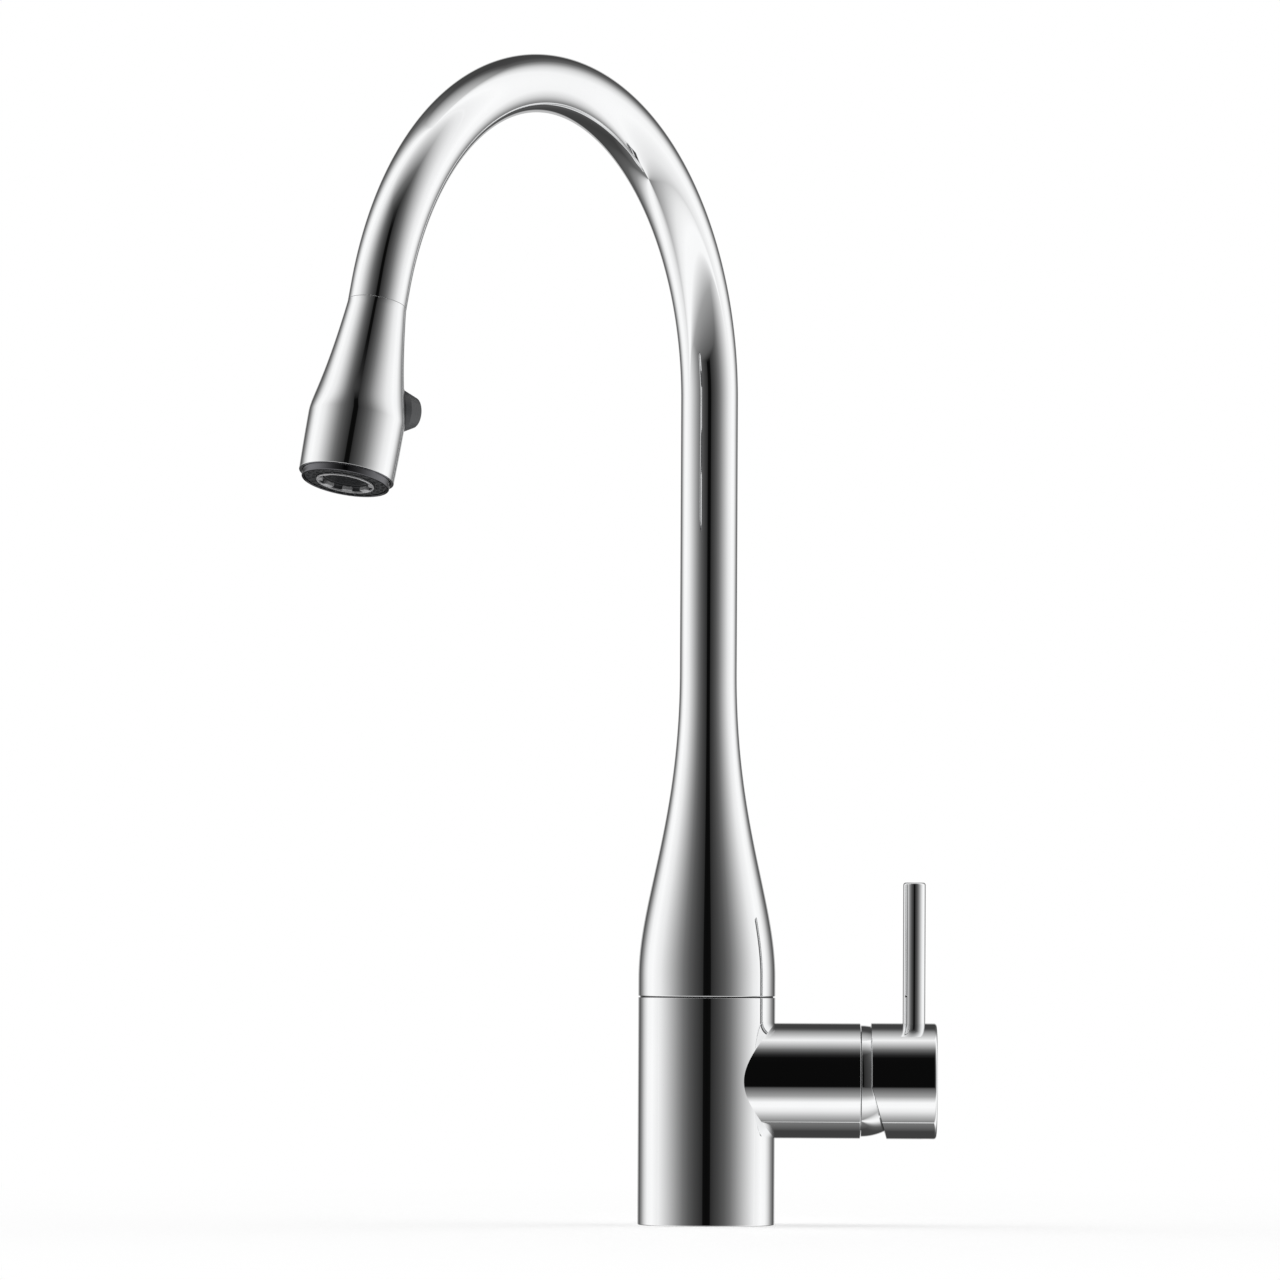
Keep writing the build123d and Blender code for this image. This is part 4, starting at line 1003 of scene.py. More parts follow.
@dataclass(frozen=True)
class BraidFinish:
    """The hose's woven sleeve, as strands that cross round it, with painted shade in the hollows of the weave.
    """

    slot: str
    light: tuple[float, float, float]
    # dark: the painted shade in the weave's hollows and where strands pass under
    dark: tuple[float, float, float]

    def build(self, axes: Optional[Axes] = None, suffix: str = "") -> bpy.types.Material:
        """Makes the material, wrapped round a given frame's +Z."""
        material, sketch, shader = start_material(self.slot + suffix)
        parts = sketch.add("ShaderNodeSeparateXYZ", None, Vector=surface_vector(sketch, axes))
        angle = sketch.math("ARCTAN2", parts.outputs["Y"], parts.outputs["X"])
        group = sketch.add("ShaderNodeGroup", {"node_tree": shared_group("braid")})
        sketch.feed(group.inputs["Around"], sketch.math("DIVIDE", angle, 2 * math.pi))
        sketch.feed(group.inputs["Along"], parts.outputs["Z"])
        group.inputs["Light"].default_value = (*self.light, 1)
        # painted shade: the dark tone fills the hollows of the weave
        group.inputs["Dark"].default_value = (*self.dark, 1)
        shader.inputs["Sheen Weight"].default_value = 0.2
        dress_shader(sketch, shader, group, 0.9, 0.0004)
        return material


CHROME = MetalFinish("chrome", (0.92, 0.925, 0.93), 0.015, 0.045, Marks.POLISHED, 0.03, 0.000002, 0.03)
DARK_CHROME = MetalFinish("dark_chrome", (0.16, 0.16, 0.17), 0.1, 0.2, Marks.POLISHED, 0.01, 0.000004, 0.1)
SATIN_CHROME = MetalFinish(
    "satin_chrome", (0.68, 0.68, 0.69), 0.28, 0.4, Marks.SATIN, 0.0003, 0.00001, 0.2, 0.92, 0.7
)
BLACK_PLASTIC = MouldedFinish("black_plastic", (0.012, 0.012, 0.013), 0.3, 0.45)
BUTTON_PLASTIC = MouldedFinish("button_plastic", (0.055, 0.057, 0.06), 0.3, 0.42, 0.0003, 0.00002, 0.4, 0.9)
GREY_RUBBER = MouldedFinish("grey_rubber", (0.035, 0.036, 0.038), 0.55, 0.7, 0.0005, 0.0002, 0.9, 0.5)
MESH_PLASTIC = MouldedFinish("mesh_plastic", (0.03, 0.031, 0.033), 0.3, 0.45, 0.0003, 0.00003)
BLACK_RUBBER = MouldedFinish("black_rubber", (0.015, 0.015, 0.015), 0.6, 0.8, 0.0006, 0.0001, 0.7, 0.7)
WHITE_PLASTIC = MouldedFinish("white_plastic", (0.72, 0.71, 0.68), 0.35, 0.5, 0.0005, 0.00003, 0.4, 0.94)
GREY_PLASTIC = MouldedFinish("grey_plastic", (0.2, 0.205, 0.21), 0.35, 0.5, 0.0005, 0.00004, 0.5, 0.85)
CERAMIC = MouldedFinish("ceramic", (0.82, 0.8, 0.76), 0.1, 0.25, 0.0003, 0.00001, 0.2, 0.97, 0.4)
BRASS = MetalFinish("brass", (0.72, 0.52, 0.25), 0.22, 0.4, Marks.TURNED, 0.0004, 0.00003, 0.4, 0.72)
COPPER = MetalFinish("copper", (0.75, 0.36, 0.22), 0.2, 0.42, Marks.TURNED, 0.0015, 0.00001, 0.2, 0.6)
ZINC_STEEL = MetalFinish(
    "zinc_steel", (0.58, 0.59, 0.6), 0.25, 0.45, Marks.TURNED, 0.0006, 0.00003, 0.4, 0.75
)
# the second tone is the painted shade of the weave's hollows
BRAID = BraidFinish("hose_braid", (0.5, 0.5, 0.52), (0.05, 0.05, 0.055))
ALL_FINISHES = (CHROME, DARK_CHROME, SATIN_CHROME, BLACK_PLASTIC, BUTTON_PLASTIC, GREY_RUBBER)
ALL_FINISHES += (MESH_PLASTIC, BLACK_RUBBER, WHITE_PLASTIC, GREY_PLASTIC, CERAMIC, BRASS, COPPER)
ALL_FINISHES += (ZINC_STEEL, BRAID)
FINISHES = {finish.slot: finish for finish in ALL_FINISHES}


def settle(
    piece: bpy.types.Object,
    body: Body,
    finish: object,
    nodes: Sequence[str] = (),
    axes: Optional[Axes] = None,
) -> bpy.types.Object:
    """Gives a finished piece its material and body, and hides the CAD nodes that it stands for.

    Args:
        piece: The piece, at the origin.
        body: The body that it rides on.
        finish: Its finish.
        nodes: The CAD nodes that it replaces.
        axes: The frame that the finish's marks follow.

    Returns:
        The piece.
    """
    piece.data.materials.clear()
    piece.data.materials.append(finish.build(axes, "_" + piece.name))
    piece.data.polygons.foreach_set("material_index", np.zeros(len(piece.data.polygons), np.int32))
    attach(piece, body.value)
    if nodes:
        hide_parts(*nodes)
    LOG.info("%s: %d faces on %s for %s", piece.name, len(piece.data.polygons), body.value, list(nodes))
    return piece


# ---- the column -----------------------------------------------------------------------------


@dataclass
class Column:
    """The round column with its side boss, and the neck that the spout turns on."""

    radius: float = 24.0
    edge: float = 0.35
    neck_radius: float = 14.0
    neck_bore: float = 10.0
    groove_radius: float = 12.5
    groove_level: float = 90.0
    groove_half: float = 2.3
    boss_radius: float = 20.2
    boss_bore: float = 17.6
    seat: float = 16.0
    shank_radius: float = 17.03
    shank_bore: float = 14.7
    shank_socket: float = 12.0
    cavity_floor: float = 14.0
    cavity_radius: float = 20.5
    block_bottom: float = 24.0
    channel_radius: float = 6.6
    cavity_top: float = 72.0
    seal_groove: tuple[float, float] = (19.5, 22.5)
    seal_height: float = 1.5

    def body_section(self, top: float, neck_top: float) -> Section:
        """The half section of the column, its neck and its bores."""
        inner, outer = self.seal_groove
        low, high = self.groove_level - self.groove_half, self.groove_level + self.groove_half
        section = Section().to(self.shank_radius, 0, 0.1).to(inner, 0).to(inner, self.seal_height)
        section.to(outer, self.seal_height).to(outer, 0)
        section.to(self.radius, 0, self.edge).to(self.radius, top, 0.2).to(self.neck_radius, top)
        section.to(self.neck_radius, low).to(self.groove_radius, low)
        section.to(self.groove_radius, high).to(self.neck_radius, high)
        section.to(self.neck_radius, neck_top, 0.4).to(self.neck_bore, neck_top, 0.3)
        section.to(self.neck_bore, self.cavity_top)
        section.to(self.channel_radius, self.cavity_top).to(self.channel_radius, self.block_bottom)
        section.to(self.cavity_radius, self.block_bottom).to(self.cavity_radius, self.cavity_floor)
        section.to(self.shank_bore, self.cavity_floor).to(self.shank_bore, self.shank_socket)
        return section.to(self.shank_radius, self.shank_socket)

    def build(self) -> None:
        """Makes the polished body."""
        upright, side = column_axes(), boss_axes()
        top = reach("lower_glide_ring", upright)[0]
        neck_top = reach("column_body", upright)[1]
        boss_end = reach("column_body", side)[1]
        main = self.body_section(top, neck_top)
        boss = bar_section(self.boss_radius, self.channel_radius + 3, boss_end, 0.2)
        bore = bar_section(self.boss_bore, self.seat, boss_end + 2, 0.0)
        piece = turned("polished_column", main, upright)
        carve(piece, [turned("boss", boss, side.turned(0.6), ROUND_STEPS - 2)], Join.ADD)
        carve(piece, [turned("boss_bore", bore, side.turned(0.6), ROUND_STEPS - 2)])
        surfaces = [TurnedSurface(main, upright), TurnedSurface(boss, side), TurnedSurface(bore, side, -1)]
        true_normals(piece, surfaces)
        settle(piece, Body.BASE, CHROME, ["column_body"])


# ---- the spout ------------------------------------------------------------------------------


@dataclass
class Spout:
    """The bell and the gooseneck as one bent tube, with the lock screw in its back."""

    tube: float = 10.0
    bore: float = 8.5
    arch_radius: float = 105.0
    arch_level: float = 289.0
    arch_tilt: float = 17.0
    end_run: float = 6.4
    bell_radius: float = 24.0
    bell_straight: float = 86.5
    bell_pulls: tuple[float, float] = (114.0, 139.5)
    bell_top: float = 193.5
    bell_bore: float = 16.45
    bell_bore_top: float = 105.0
    bell_cone_top: float = 142.0
    screw_level: float = 90.0
    screw_radius: float = 2.5
    screw_tip: float = 2.0
    screw_seat: float = 16.0
    key_corner: float = 1.44
    key_depth: float = 2.5

    def centre_line(self, run: np.ndarray) -> tuple[np.ndarray, np.ndarray]:
        """Follows the gooseneck.

        Args:
            run: Distances along it, the same as heights up to the arch.

        Returns:
            Points in the spout's plane, and the angle that the line has turned through at each.
        """
        sweep = math.radians(180 - self.arch_tilt)
        turn = np.clip((run - self.arch_level) / self.arch_radius, 0, sweep)
        beyond = np.maximum(run - self.arch_level - sweep * self.arch_radius, 0)
        out = self.arch_radius * (1 - np.cos(turn)) + beyond * math.sin(sweep)
        up = np.minimum(run, self.arch_level) + self.arch_radius * np.sin(turn) + beyond * math.cos(sweep)
        return np.stack([out, up], axis=1), turn

    def bent(self, name: str, section: Section, steps: int = ROUND_STEPS) -> bpy.types.Object:
        """Turns a section round the gooseneck's line instead of a straight axis."""
        outline = section.outline()
        faces, _ = round_faces(outline[:, 0], steps)
        centres, turns = self.centre_line(outline[:, 1])
        angles = np.arange(steps) * 2 * math.pi / steps
        rows = []
        for (radius, _), (out, up), turn in zip(outline, centres, turns):
            inwards = radius * np.cos(angles)
            x = out + inwards * math.cos(turn)
            z = up - inwards * math.sin(turn)
            rows.append(np.stack([x, radius * np.sin(angles), z], axis=1))
        return new_piece(name, spout_axes().place(np.concatenate(rows)), faces)

    def shell_section(self, foot: float) -> Section:
        """The shell's section, with its height measured along the gooseneck."""
        end = self.arch_level + math.radians(180 - self.arch_tilt) * self.arch_radius + self.end_run
        section = Section().to(self.bell_bore, foot, 0.3).to(self.bell_radius, foot, 0.35)
        section.curve(
            (self.bell_radius, self.bell_straight),
            (self.bell_radius, self.bell_pulls[0]),
            (self.tube, self.bell_pulls[1]),
            (self.tube, self.bell_top),
            steps=90,
        )
        section.line((self.tube, self.arch_level), 10).line((self.tube, end - 2), 170)
        section.to(self.tube, end, 0.06).to(self.bore, end, 0.3)
        section.to(self.bore, end - 2).line((self.bore, self.arch_level), 80)
        section.to(self.bore, self.bell_cone_top, 1.0).to(self.bell_bore, self.bell_bore_top, 1.0)
        return section

    def build(self) -> None:
        """Makes the shell, and the lock screw in the back of its bell."""
        foot = reach("spout_shell", column_axes())[0]
        shell = self.bent("polished_spout", self.shell_section(foot))
        back = Axes.along(
            spout_axes().place(np.array([[0, 0, self.screw_level]]))[0], -spout_axes().x, (0, 0, 1)
        )
        outer = reach("spout_lock_screw", back)[1]
        carve(shell, [turned("screw_hole", bar_section(self.screw_radius + 0.03, 15.0, 26.0, 0.0), back, 48)])
        crease(shell)
        settle(shell, Body.SPOUT, CHROME, ["spout_shell"])
        tip = reach("spout_lock_screw", back)[0]
        section = Section().to(0, tip).to(self.screw_tip, tip, 0.4).to(self.screw_tip, self.screw_seat)
        section.to(self.screw_radius, self.screw_seat, 0.3)
        section.to(self.screw_radius, outer, 0.3).to(0, outer)
        screw = turned("lock_screw", section, back, 48)
        hexagon = hexagon_outline(self.key_corner)
        carve(screw, [prism("key_socket", hexagon, outer - self.key_depth, outer + 1, back)])
        crease(screw)
        settle(screw, Body.SPOUT, SATIN_CHROME, ["spout_lock_screw"], back)


# ---- the hose -------------------------------------------------------------------------------


@dataclass
class Hose:
    """The braided hose: what stays in the spout, and what is drawn out with the head."""

    spout: Spout
    radius: float = 6.0
    bore: float = 4.0
    foot: float = -75.0
    split: float = 67.5
    crimp: float = 40.0
    seam: float = 6.5
    head_length: float = 61.0

    def build(self) -> None:
        """Makes both lengths."""
        spout, head = self.spout, head_axes()
        sweep = math.radians(180 - spout.arch_tilt)
        lip = spout.arch_level + sweep * spout.arch_radius + self.seam + self.head_length
        end = lip - self.split
        section = Section().to(self.radius, self.foot).line((self.radius, spout.arch_level), 24)
        section.line((self.radius, end), 90).to(self.bore, end).line((self.bore, spout.arch_level), 60)
        section.to(self.bore, self.foot)
        fixed = spout.bent("hose_in_spout", section, 48)
        crease(fixed)
        settle(fixed, Body.SPOUT, BRAID, ["spray_hose"], column_axes())
        low, high = self.crimp, self.split
        rings = Section().to(self.radius, low).line((self.radius, high), 150)
        rings.to(self.bore, high).line((self.bore, low), 150)
        drawn = turned("hose_drawn_out", rings, head, 64)
        crease(drawn)
        drawn.data.materials.append(BRAID.build(head, "_" + drawn.name))
        start, finish = head.place(np.array([[0, 0, high], [0, 0, low]]))
        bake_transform(drawn)
        LOG.info("hose_drawn_out bends between spout and hose_end")


# ---- the spray head -------------------------------------------------------------------------


@dataclass
class SprayHead:
    """The spray head's shell, its button with its bezel, and the mouth's rings, nozzles and grille."""

    length: float = 61.0
    top: float = 10.0
    belly: float = 16.35
    belly_level: float = 20.0
    belly_pull: float = 25.4
    shoulder: tuple[float, float] = (13.2, 31.0)
    lip: float = 16.1
    mouth: float = 15.05
    mouth_depth: float = 3.0
    bore: float = 13.9
    neck_bore: float = 8.0
    neck_level: float = 51.0
    crossing: float = 24.6
    bezel: float = 8.2
    skirt: float = 7.2
    cap_face: float = 5.0
    cap_wall: float = 1.4
    cap_rim: float = 14.0
    cap_stem: float = 1.5
    spring_radius: float = 5.1
    spring_wire: float = 0.35
    spring_turns: int = 4
    nozzle_ring_radius: float = 14.9
    nozzle_ring_wall: float = 0.9
    face_radius: float = 13.9
    face_hole: float = 9.9
    dish_depth: float = 0.12
    nozzle_sink: float = 0.3
    nozzle_root: float = 0.6
    nozzle_tip: float = 0.38
    castle_radius: float = 9.8
    castle_bore: float = 7.9
    castle_rim: float = 0.45
    castle_recess: float = 0.5
    castle_depth: float = 1.5
    castle_share: float = 0.5
    castles: int = 8
    ribs: int = 13
    rib_width: float = 0.28
    rib_depth: float = 0.5
    nozzle_circles: tuple[tuple[float, int], ...] = ((11.0, 20), (12.7, 24))

    def shell_section(self) -> Section:
        """The shell's half section."""
        section = Section().to(self.bore, self.mouth_depth).to(self.mouth, self.mouth_depth, 0.1)
        section.to(self.mouth, 0, 0.1).to(self.lip, 0, 0.15)
        section.curve((self.lip, 0.9), (self.belly, 10.0), (self.belly, self.belly_level), steps=24)
        section.curve(
            (self.belly, self.belly_level + 0.05),
            (self.belly, self.belly_pull),
            self.shoulder,
            (self.top, self.length - 0.5),
            steps=60,
        )
        section.to(self.top, self.length, 0.06).to(self.neck_bore, self.length, 0.2)
        return section.to(self.neck_bore, self.neck_level, 0.5).to(self.bore, self.belly_level, 1.0)

    def skin_section(self, proud: float) -> Section:
        """A solid that stands a little proud of the shell's skin, for trimming the bezel to it."""
        section = Section().to(0, 0).to(self.belly + proud, 0).to(self.belly + proud, self.belly_level)
        section.curve(
            (self.belly + proud, self.belly_level + 0.05),
            (self.belly + proud, self.belly_pull),
            (self.shoulder[0] + proud, self.shoulder[1]),
            (self.top + proud, self.length),
            steps=60,
        )
        return section.to(0, self.length)

    def build_shell(self) -> None:
        """Makes the polished shell with its button hole."""
        head, button = head_axes(), button_axes(self.crossing)
        section = self.shell_section()
        hole = bar_section(self.bezel + 0.03, 2.0, 24.0, 0.0)
        piece = turned("spray_head_shell", section, head, 256)
        carve(piece, [turned("button_hole", hole, button, 128)])
        true_normals(piece, [TurnedSurface(section, head), TurnedSurface(hole, button, -1)])
        settle(piece, Body.HEAD, CHROME, ["spray_shell"])

    def build_button(self) -> None:
        """Makes the button's cap and the bezel round it."""
        button = button_axes(self.crossing)
        back, front = reach("button_bezel", button)
        ring = tube_section(self.bezel, self.skirt + 0.3, back, front, 0.25)
        bezel = turned("bezel_ring", ring, button, 128)
        carve(bezel, [turned("bezel_trim", self.skin_section(0.3), head_axes(), 256)], Join.KEEP)
        crease(bezel)
        settle(bezel, Body.HEAD, BLACK_PLASTIC, ["button_bezel"], button)
        low, high = reach("diverter_button", button)
        rim, stem = self.cap_rim, self.cap_stem
        inner = self.skirt - self.cap_wall
        section = Section().to(0, low).to(stem, low, 0.2).to(stem, high - self.cap_wall - 0.6, 0.5)
        section.to(inner - 1.2, high - self.cap_wall - 1.6, 0.6).to(inner, front, 0.3).to(inner, rim, 0.2)
        section.to(self.skirt, rim, 0.2).to(self.skirt, front, 0.4).to(self.cap_face, high, 0.7)
        section.to(self.cap_face - 1.6, high - 0.12, 0.6).to(0, high - 0.16)
        cap = turned("button_cap", section, button, 128)
        settle(cap, Body.BUTTON, BUTTON_PLASTIC, ["diverter_button"], button)

    def build_spring(self) -> None:
        """Makes the button's spring, as a coil at its rest length."""
        button = button_axes(self.crossing)
        low, high = reach("diverter_spring", button)
        wire = self.spring_wire
        span = (low + wire, high - wire)
        spring = coil("button_spring", self.spring_radius, wire, span, self.spring_turns, button)
        crease(spring)
        spring.data.materials.append(ZINC_STEEL.build(button, "_" + spring.name))
        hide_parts("diverter_spring")
        start, end = button.place(np.array([[0, 0, low], [0, 0, high]]))
        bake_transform(spring)
        LOG.info("button_spring shortens between spray_head and button")

    def build_mouth(self) -> None:
        """Makes the rings, nozzles, castellated ring and grille of the mouth."""
        head = head_axes()
        low, high = reach("nozzle_ring", head)
        inner = self.nozzle_ring_radius - self.nozzle_ring_wall
        section = Section().to(inner, high).to(inner, low, 0.2)
        section.to(self.nozzle_ring_radius, low, 0.5).to(self.nozzle_ring_radius, high, 0.1)
        ring = turned("mouth_ring", section, head)
        settle(ring, Body.HEAD, DARK_CHROME, ["nozzle_ring"], head)
        level = reach("spray_face", head)
        face = self.rubber_face(level[0] + 0.5, level[1], level[0])
        settle(face, Body.HEAD, GREY_RUBBER, ["spray_face"], head)
        self.build_castle()
        self.build_grille()

    def rubber_face(self, plate: float, back: float, tips: float) -> bpy.types.Object:
        """The face plate with a shallow dish and its circles of nozzles.

        Args:
            plate: The plate's front level.
            back: The plate's back level.
            tips: The level of the nozzles' tips.

        Returns:
            The joined piece.
        """
        head = head_axes()
        inner, outer, dish = self.face_hole, self.face_radius, plate + self.dish_depth
        section = Section().to(inner, back).to(inner, plate, 0.25).to(inner + 0.45, plate, 0.1)
        section.to(inner + 0.6, dish, 0.1).to(outer - 0.5, dish, 0.1)
        section.to(outer - 0.35, plate, 0.1).to(outer, plate, 0.25).to(outer, back)
        pieces = [turned("face_plate", section, head)]
        tree, scratch = ring_of_nozzles_tree(), bpy.data.materials.new("scratch")
        root = plate + self.nozzle_sink
        for circle, count in self.nozzle_circles:
            values = {"Count": count, "Circle Radius": circle * MM, "Root Radius": self.nozzle_root * MM}
            values |= {"Tip Radius": self.nozzle_tip * MM, "Height": (root - tips) * MM, "Level": root * MM}
            pieces.append(grown(f"nozzles_{count}", tree, values, scratch, head))
        face = merged("rubber_spray_face", pieces)
        crease(face)
        return face

    def build_castle(self) -> None:
        """Makes the ring round the jet outlet: a thin rim with blocks inside it."""
        head = head_axes()
        low, high = reach("aerator_ring", head)
        rim, depth = self.castle_rim, self.castle_depth
        edge, inner = low + self.castle_recess + 0.1, self.castle_radius - rim
        rim_piece = turned("castle_rim", tube_section(self.castle_radius, inner, low, edge, 0.15), head)
        well = Section().to(self.castle_bore, low + depth, 0.1).to(inner, low + depth).to(inner, edge)
        well.to(self.castle_radius, edge).to(self.castle_radius, high, 0.1).to(self.castle_bore, high, 0.1)
        floor = turned("castle_floor", well, head)
        width = self.castle_radius - rim / 2 - self.castle_bore
        middle = self.castle_bore + width / 2
        values = {"Count": self.castles, "Middle Radius": middle * MM, "Thickness": width * MM}
        height = depth - self.castle_recess + 0.1
        level = low + self.castle_recess + height / 2
        values |= {"Height": height * MM, "Share": self.castle_share, "Middle Level": level * MM}
        blocks = grown("castle_blocks", merlons_tree(), values, bpy.data.materials.new("scratch"), head)
        crease(floor)
        settle(floor, Body.HEAD, MESH_PLASTIC, axes=head)
        ring = merged("castle_ring", [rim_piece, blocks])
        crease(ring)
        settle(ring, Body.HEAD, SATIN_CHROME, ["aerator_ring"], head)

    def build_grille(self) -> None:
        """Makes the jet's fine grille in front of its dark disc."""
        head = head_axes()
        low, high = reach("aerator_insert", head)
        radius = self.castle_bore - 0.1
        rim = turned("grille_rim", tube_section(radius, radius - 0.7, low, high, 0.15), head)
        disc = turned("grille_back", bar_section(radius - 0.3, low + 1.3, high, 0.1), head)
        values = {"Ribs": self.ribs, "Radius": (radius - 0.4) * MM, "Rib Width": self.rib_width * MM}
        values |= {"Rib Depth": self.rib_depth * MM, "Level": (low + 0.35) * MM, "Angle": math.pi / 4}
        ribs = grown("grille_ribs", grille_tree(), values, bpy.data.materials.new("scratch"), head)
        grille = merged("jet_grille", [rim, disc, ribs])
        crease(grille)
        settle(grille, Body.HEAD, MESH_PLASTIC, ["aerator_insert"], head)

    def build(self) -> None:
        """Makes the whole head."""
        self.build_shell()
        self.build_button()
        self.build_spring()
        self.build_mouth()


# ---- the lever ------------------------------------------------------------------------------


@dataclass
class LeverSide:
    """The dome over the cartridge, and the lever's hub and rod."""

    pivot: float = 54.0
    dome_radius: float = 19.5
    dome_wall: float = 1.6
    dome_hole: float = 13.2
    skirt: float = 17.57
    hub_radius: float = 20.3
    rim: float = 57.6
    relief: float = 63.2
    relief_rise: float = 1.4
    edge: float = 1.0
    clearance: float = 0.35
    boss: float = 6.5
    boss_start: float = 66.0
    socket: float = 4.03
    socket_end: float = 79.0
    grub: float = 77.2
    grub_hole: float = 2.03
    rod_place: float = 72.6
    rod_radius: float = 3.95
    rod_edge: float = 0.9
    rod_sink: float = 1.5
    stud: float = 2.5
    stud_length: float = 4.0
    stud_hole: float = 2.53
    stud_hole_depth: float = 4.1

    def build_dome(self) -> None:
        """Makes the polished dome."""
        side = boss_axes()
        low = reach("dome_cover", side)[0]
        outer, inner = self.dome_radius, self.dome_radius - self.dome_wall
        half = math.asin(self.dome_hole / outer)
        section = Section().to(self.skirt - self.dome_wall, low).to(self.skirt, low, 0.2)
        section.to(self.skirt, self.pivot + 0.1).to(outer, self.pivot + 0.1, 0.15)
        for angle in np.linspace(math.pi / 2 - 0.02, half + 0.01, 40):
            section.to(outer * math.sin(angle), self.pivot + outer * math.cos(angle))
        section.to(self.dome_hole, self.pivot + outer * math.cos(half), 0.15)
        for angle in np.linspace(math.asin(self.dome_hole / inner), math.pi / 2 - 0.45, 16):
            section.to(inner * math.sin(angle), self.pivot + inner * math.cos(angle))
        section.to(self.skirt - self.dome_wall, self.pivot + self.dome_wall)
        dome = turned("dome_cap", section, side)
        settle(dome, Body.BASE, CHROME, ["dome_cover"])

    def hub_section(self, end: float) -> Section:
        """The hub's half section, hollow over the dome."""
        hollow = self.dome_radius + self.clearance
        start = math.acos((self.rim - self.pivot) / hollow)
        stop = math.asin(self.boss / hollow)
        section = Section().to(hollow * math.sin(start), self.rim, 0.12).to(self.hub_radius, self.rim, 0.25)
        section.to(self.hub_radius, end, self.edge).to(0, end).to(0, self.boss_start)
        section.to(self.boss, self.boss_start, 0.2)
        for angle in np.linspace(stop, start - 0.02, 40):
            section.to(hollow * math.sin(angle), self.pivot + hollow * math.cos(angle))
        return section

    def build_hub(self) -> None:
        """Makes the hub, cuts its relief and its holes, and adds its rod."""
        side = boss_axes()
        end = reach("lever_hub", side)[1]
        section = self.hub_section(end)
        hub = turned("lever_hub_cap", section, side)
        wedge = Axes.along(side.origin, side.y, side.z)
        slope = (self.relief - self.rim) / (self.hub_radius - self.relief_rise)
        far = 2 * self.hub_radius
        relief = [(self.rim - 2, self.relief_rise), (self.rim, self.relief_rise)]
        relief += [(self.rim + slope * (far - self.relief_rise), far), (self.rim - 2, far)]
        width = self.socket
        square = [(-width, -width), (width, -width), (width, width), (-width, width)]
        below = Axes.along(side.place(np.array([[0, 0, self.grub]]))[0], side.x, side.z)
        above = Axes.along(side.place(np.array([[0, 0, self.rod_place]]))[0], -side.x, side.z)
        seat = self.hub_radius - self.rod_sink
        grub_hole = bar_section(self.grub_hole, 0.5, 22.0, 0.0)
        floor, hole = seat - self.stud_hole_depth, self.rod_radius + 0.03
        rod_seat = Section().to(0, floor).to(self.stud_hole, floor).to(self.stud_hole, seat)
        rod_seat.to(hole, seat).to(hole, 26.0).to(0, 26.0)
        cutters = [prism("relief", relief, -far, far, wedge)]
        cutters.append(prism("square_socket", square, self.boss_start - 1, self.socket_end, side))
        cutters.append(turned("grub_hole", grub_hole, below, 48))
        cutters.append(turned("rod_seat", rod_seat, above, 96))
        carve(hub, cutters)
        surfaces = [TurnedSurface(section, side), TurnedSurface(grub_hole, below, -1)]
        surfaces.append(TurnedSurface(rod_seat, above, -1))
        true_normals(hub, surfaces)
        settle(hub, Body.LEVER, CHROME, ["lever_hub"])
        top = reach("lever_rod", above)[1]
        foot = seat - self.stud_length
        bar = Section().to(0, foot).to(self.stud, foot, 0.3).to(self.stud, seat)
        bar.to(self.rod_radius, seat, 0.15).to(self.rod_radius, top, self.rod_edge).to(0, top)
        settle(turned("lever_bar", bar, above, 128), Body.LEVER, CHROME, ["lever_rod"])

    def build(self) -> None:
        """Makes the whole lever side."""
        self.build_dome()
        self.build_hub()


# ---- under the worktop ----------------------------------------------------------------------


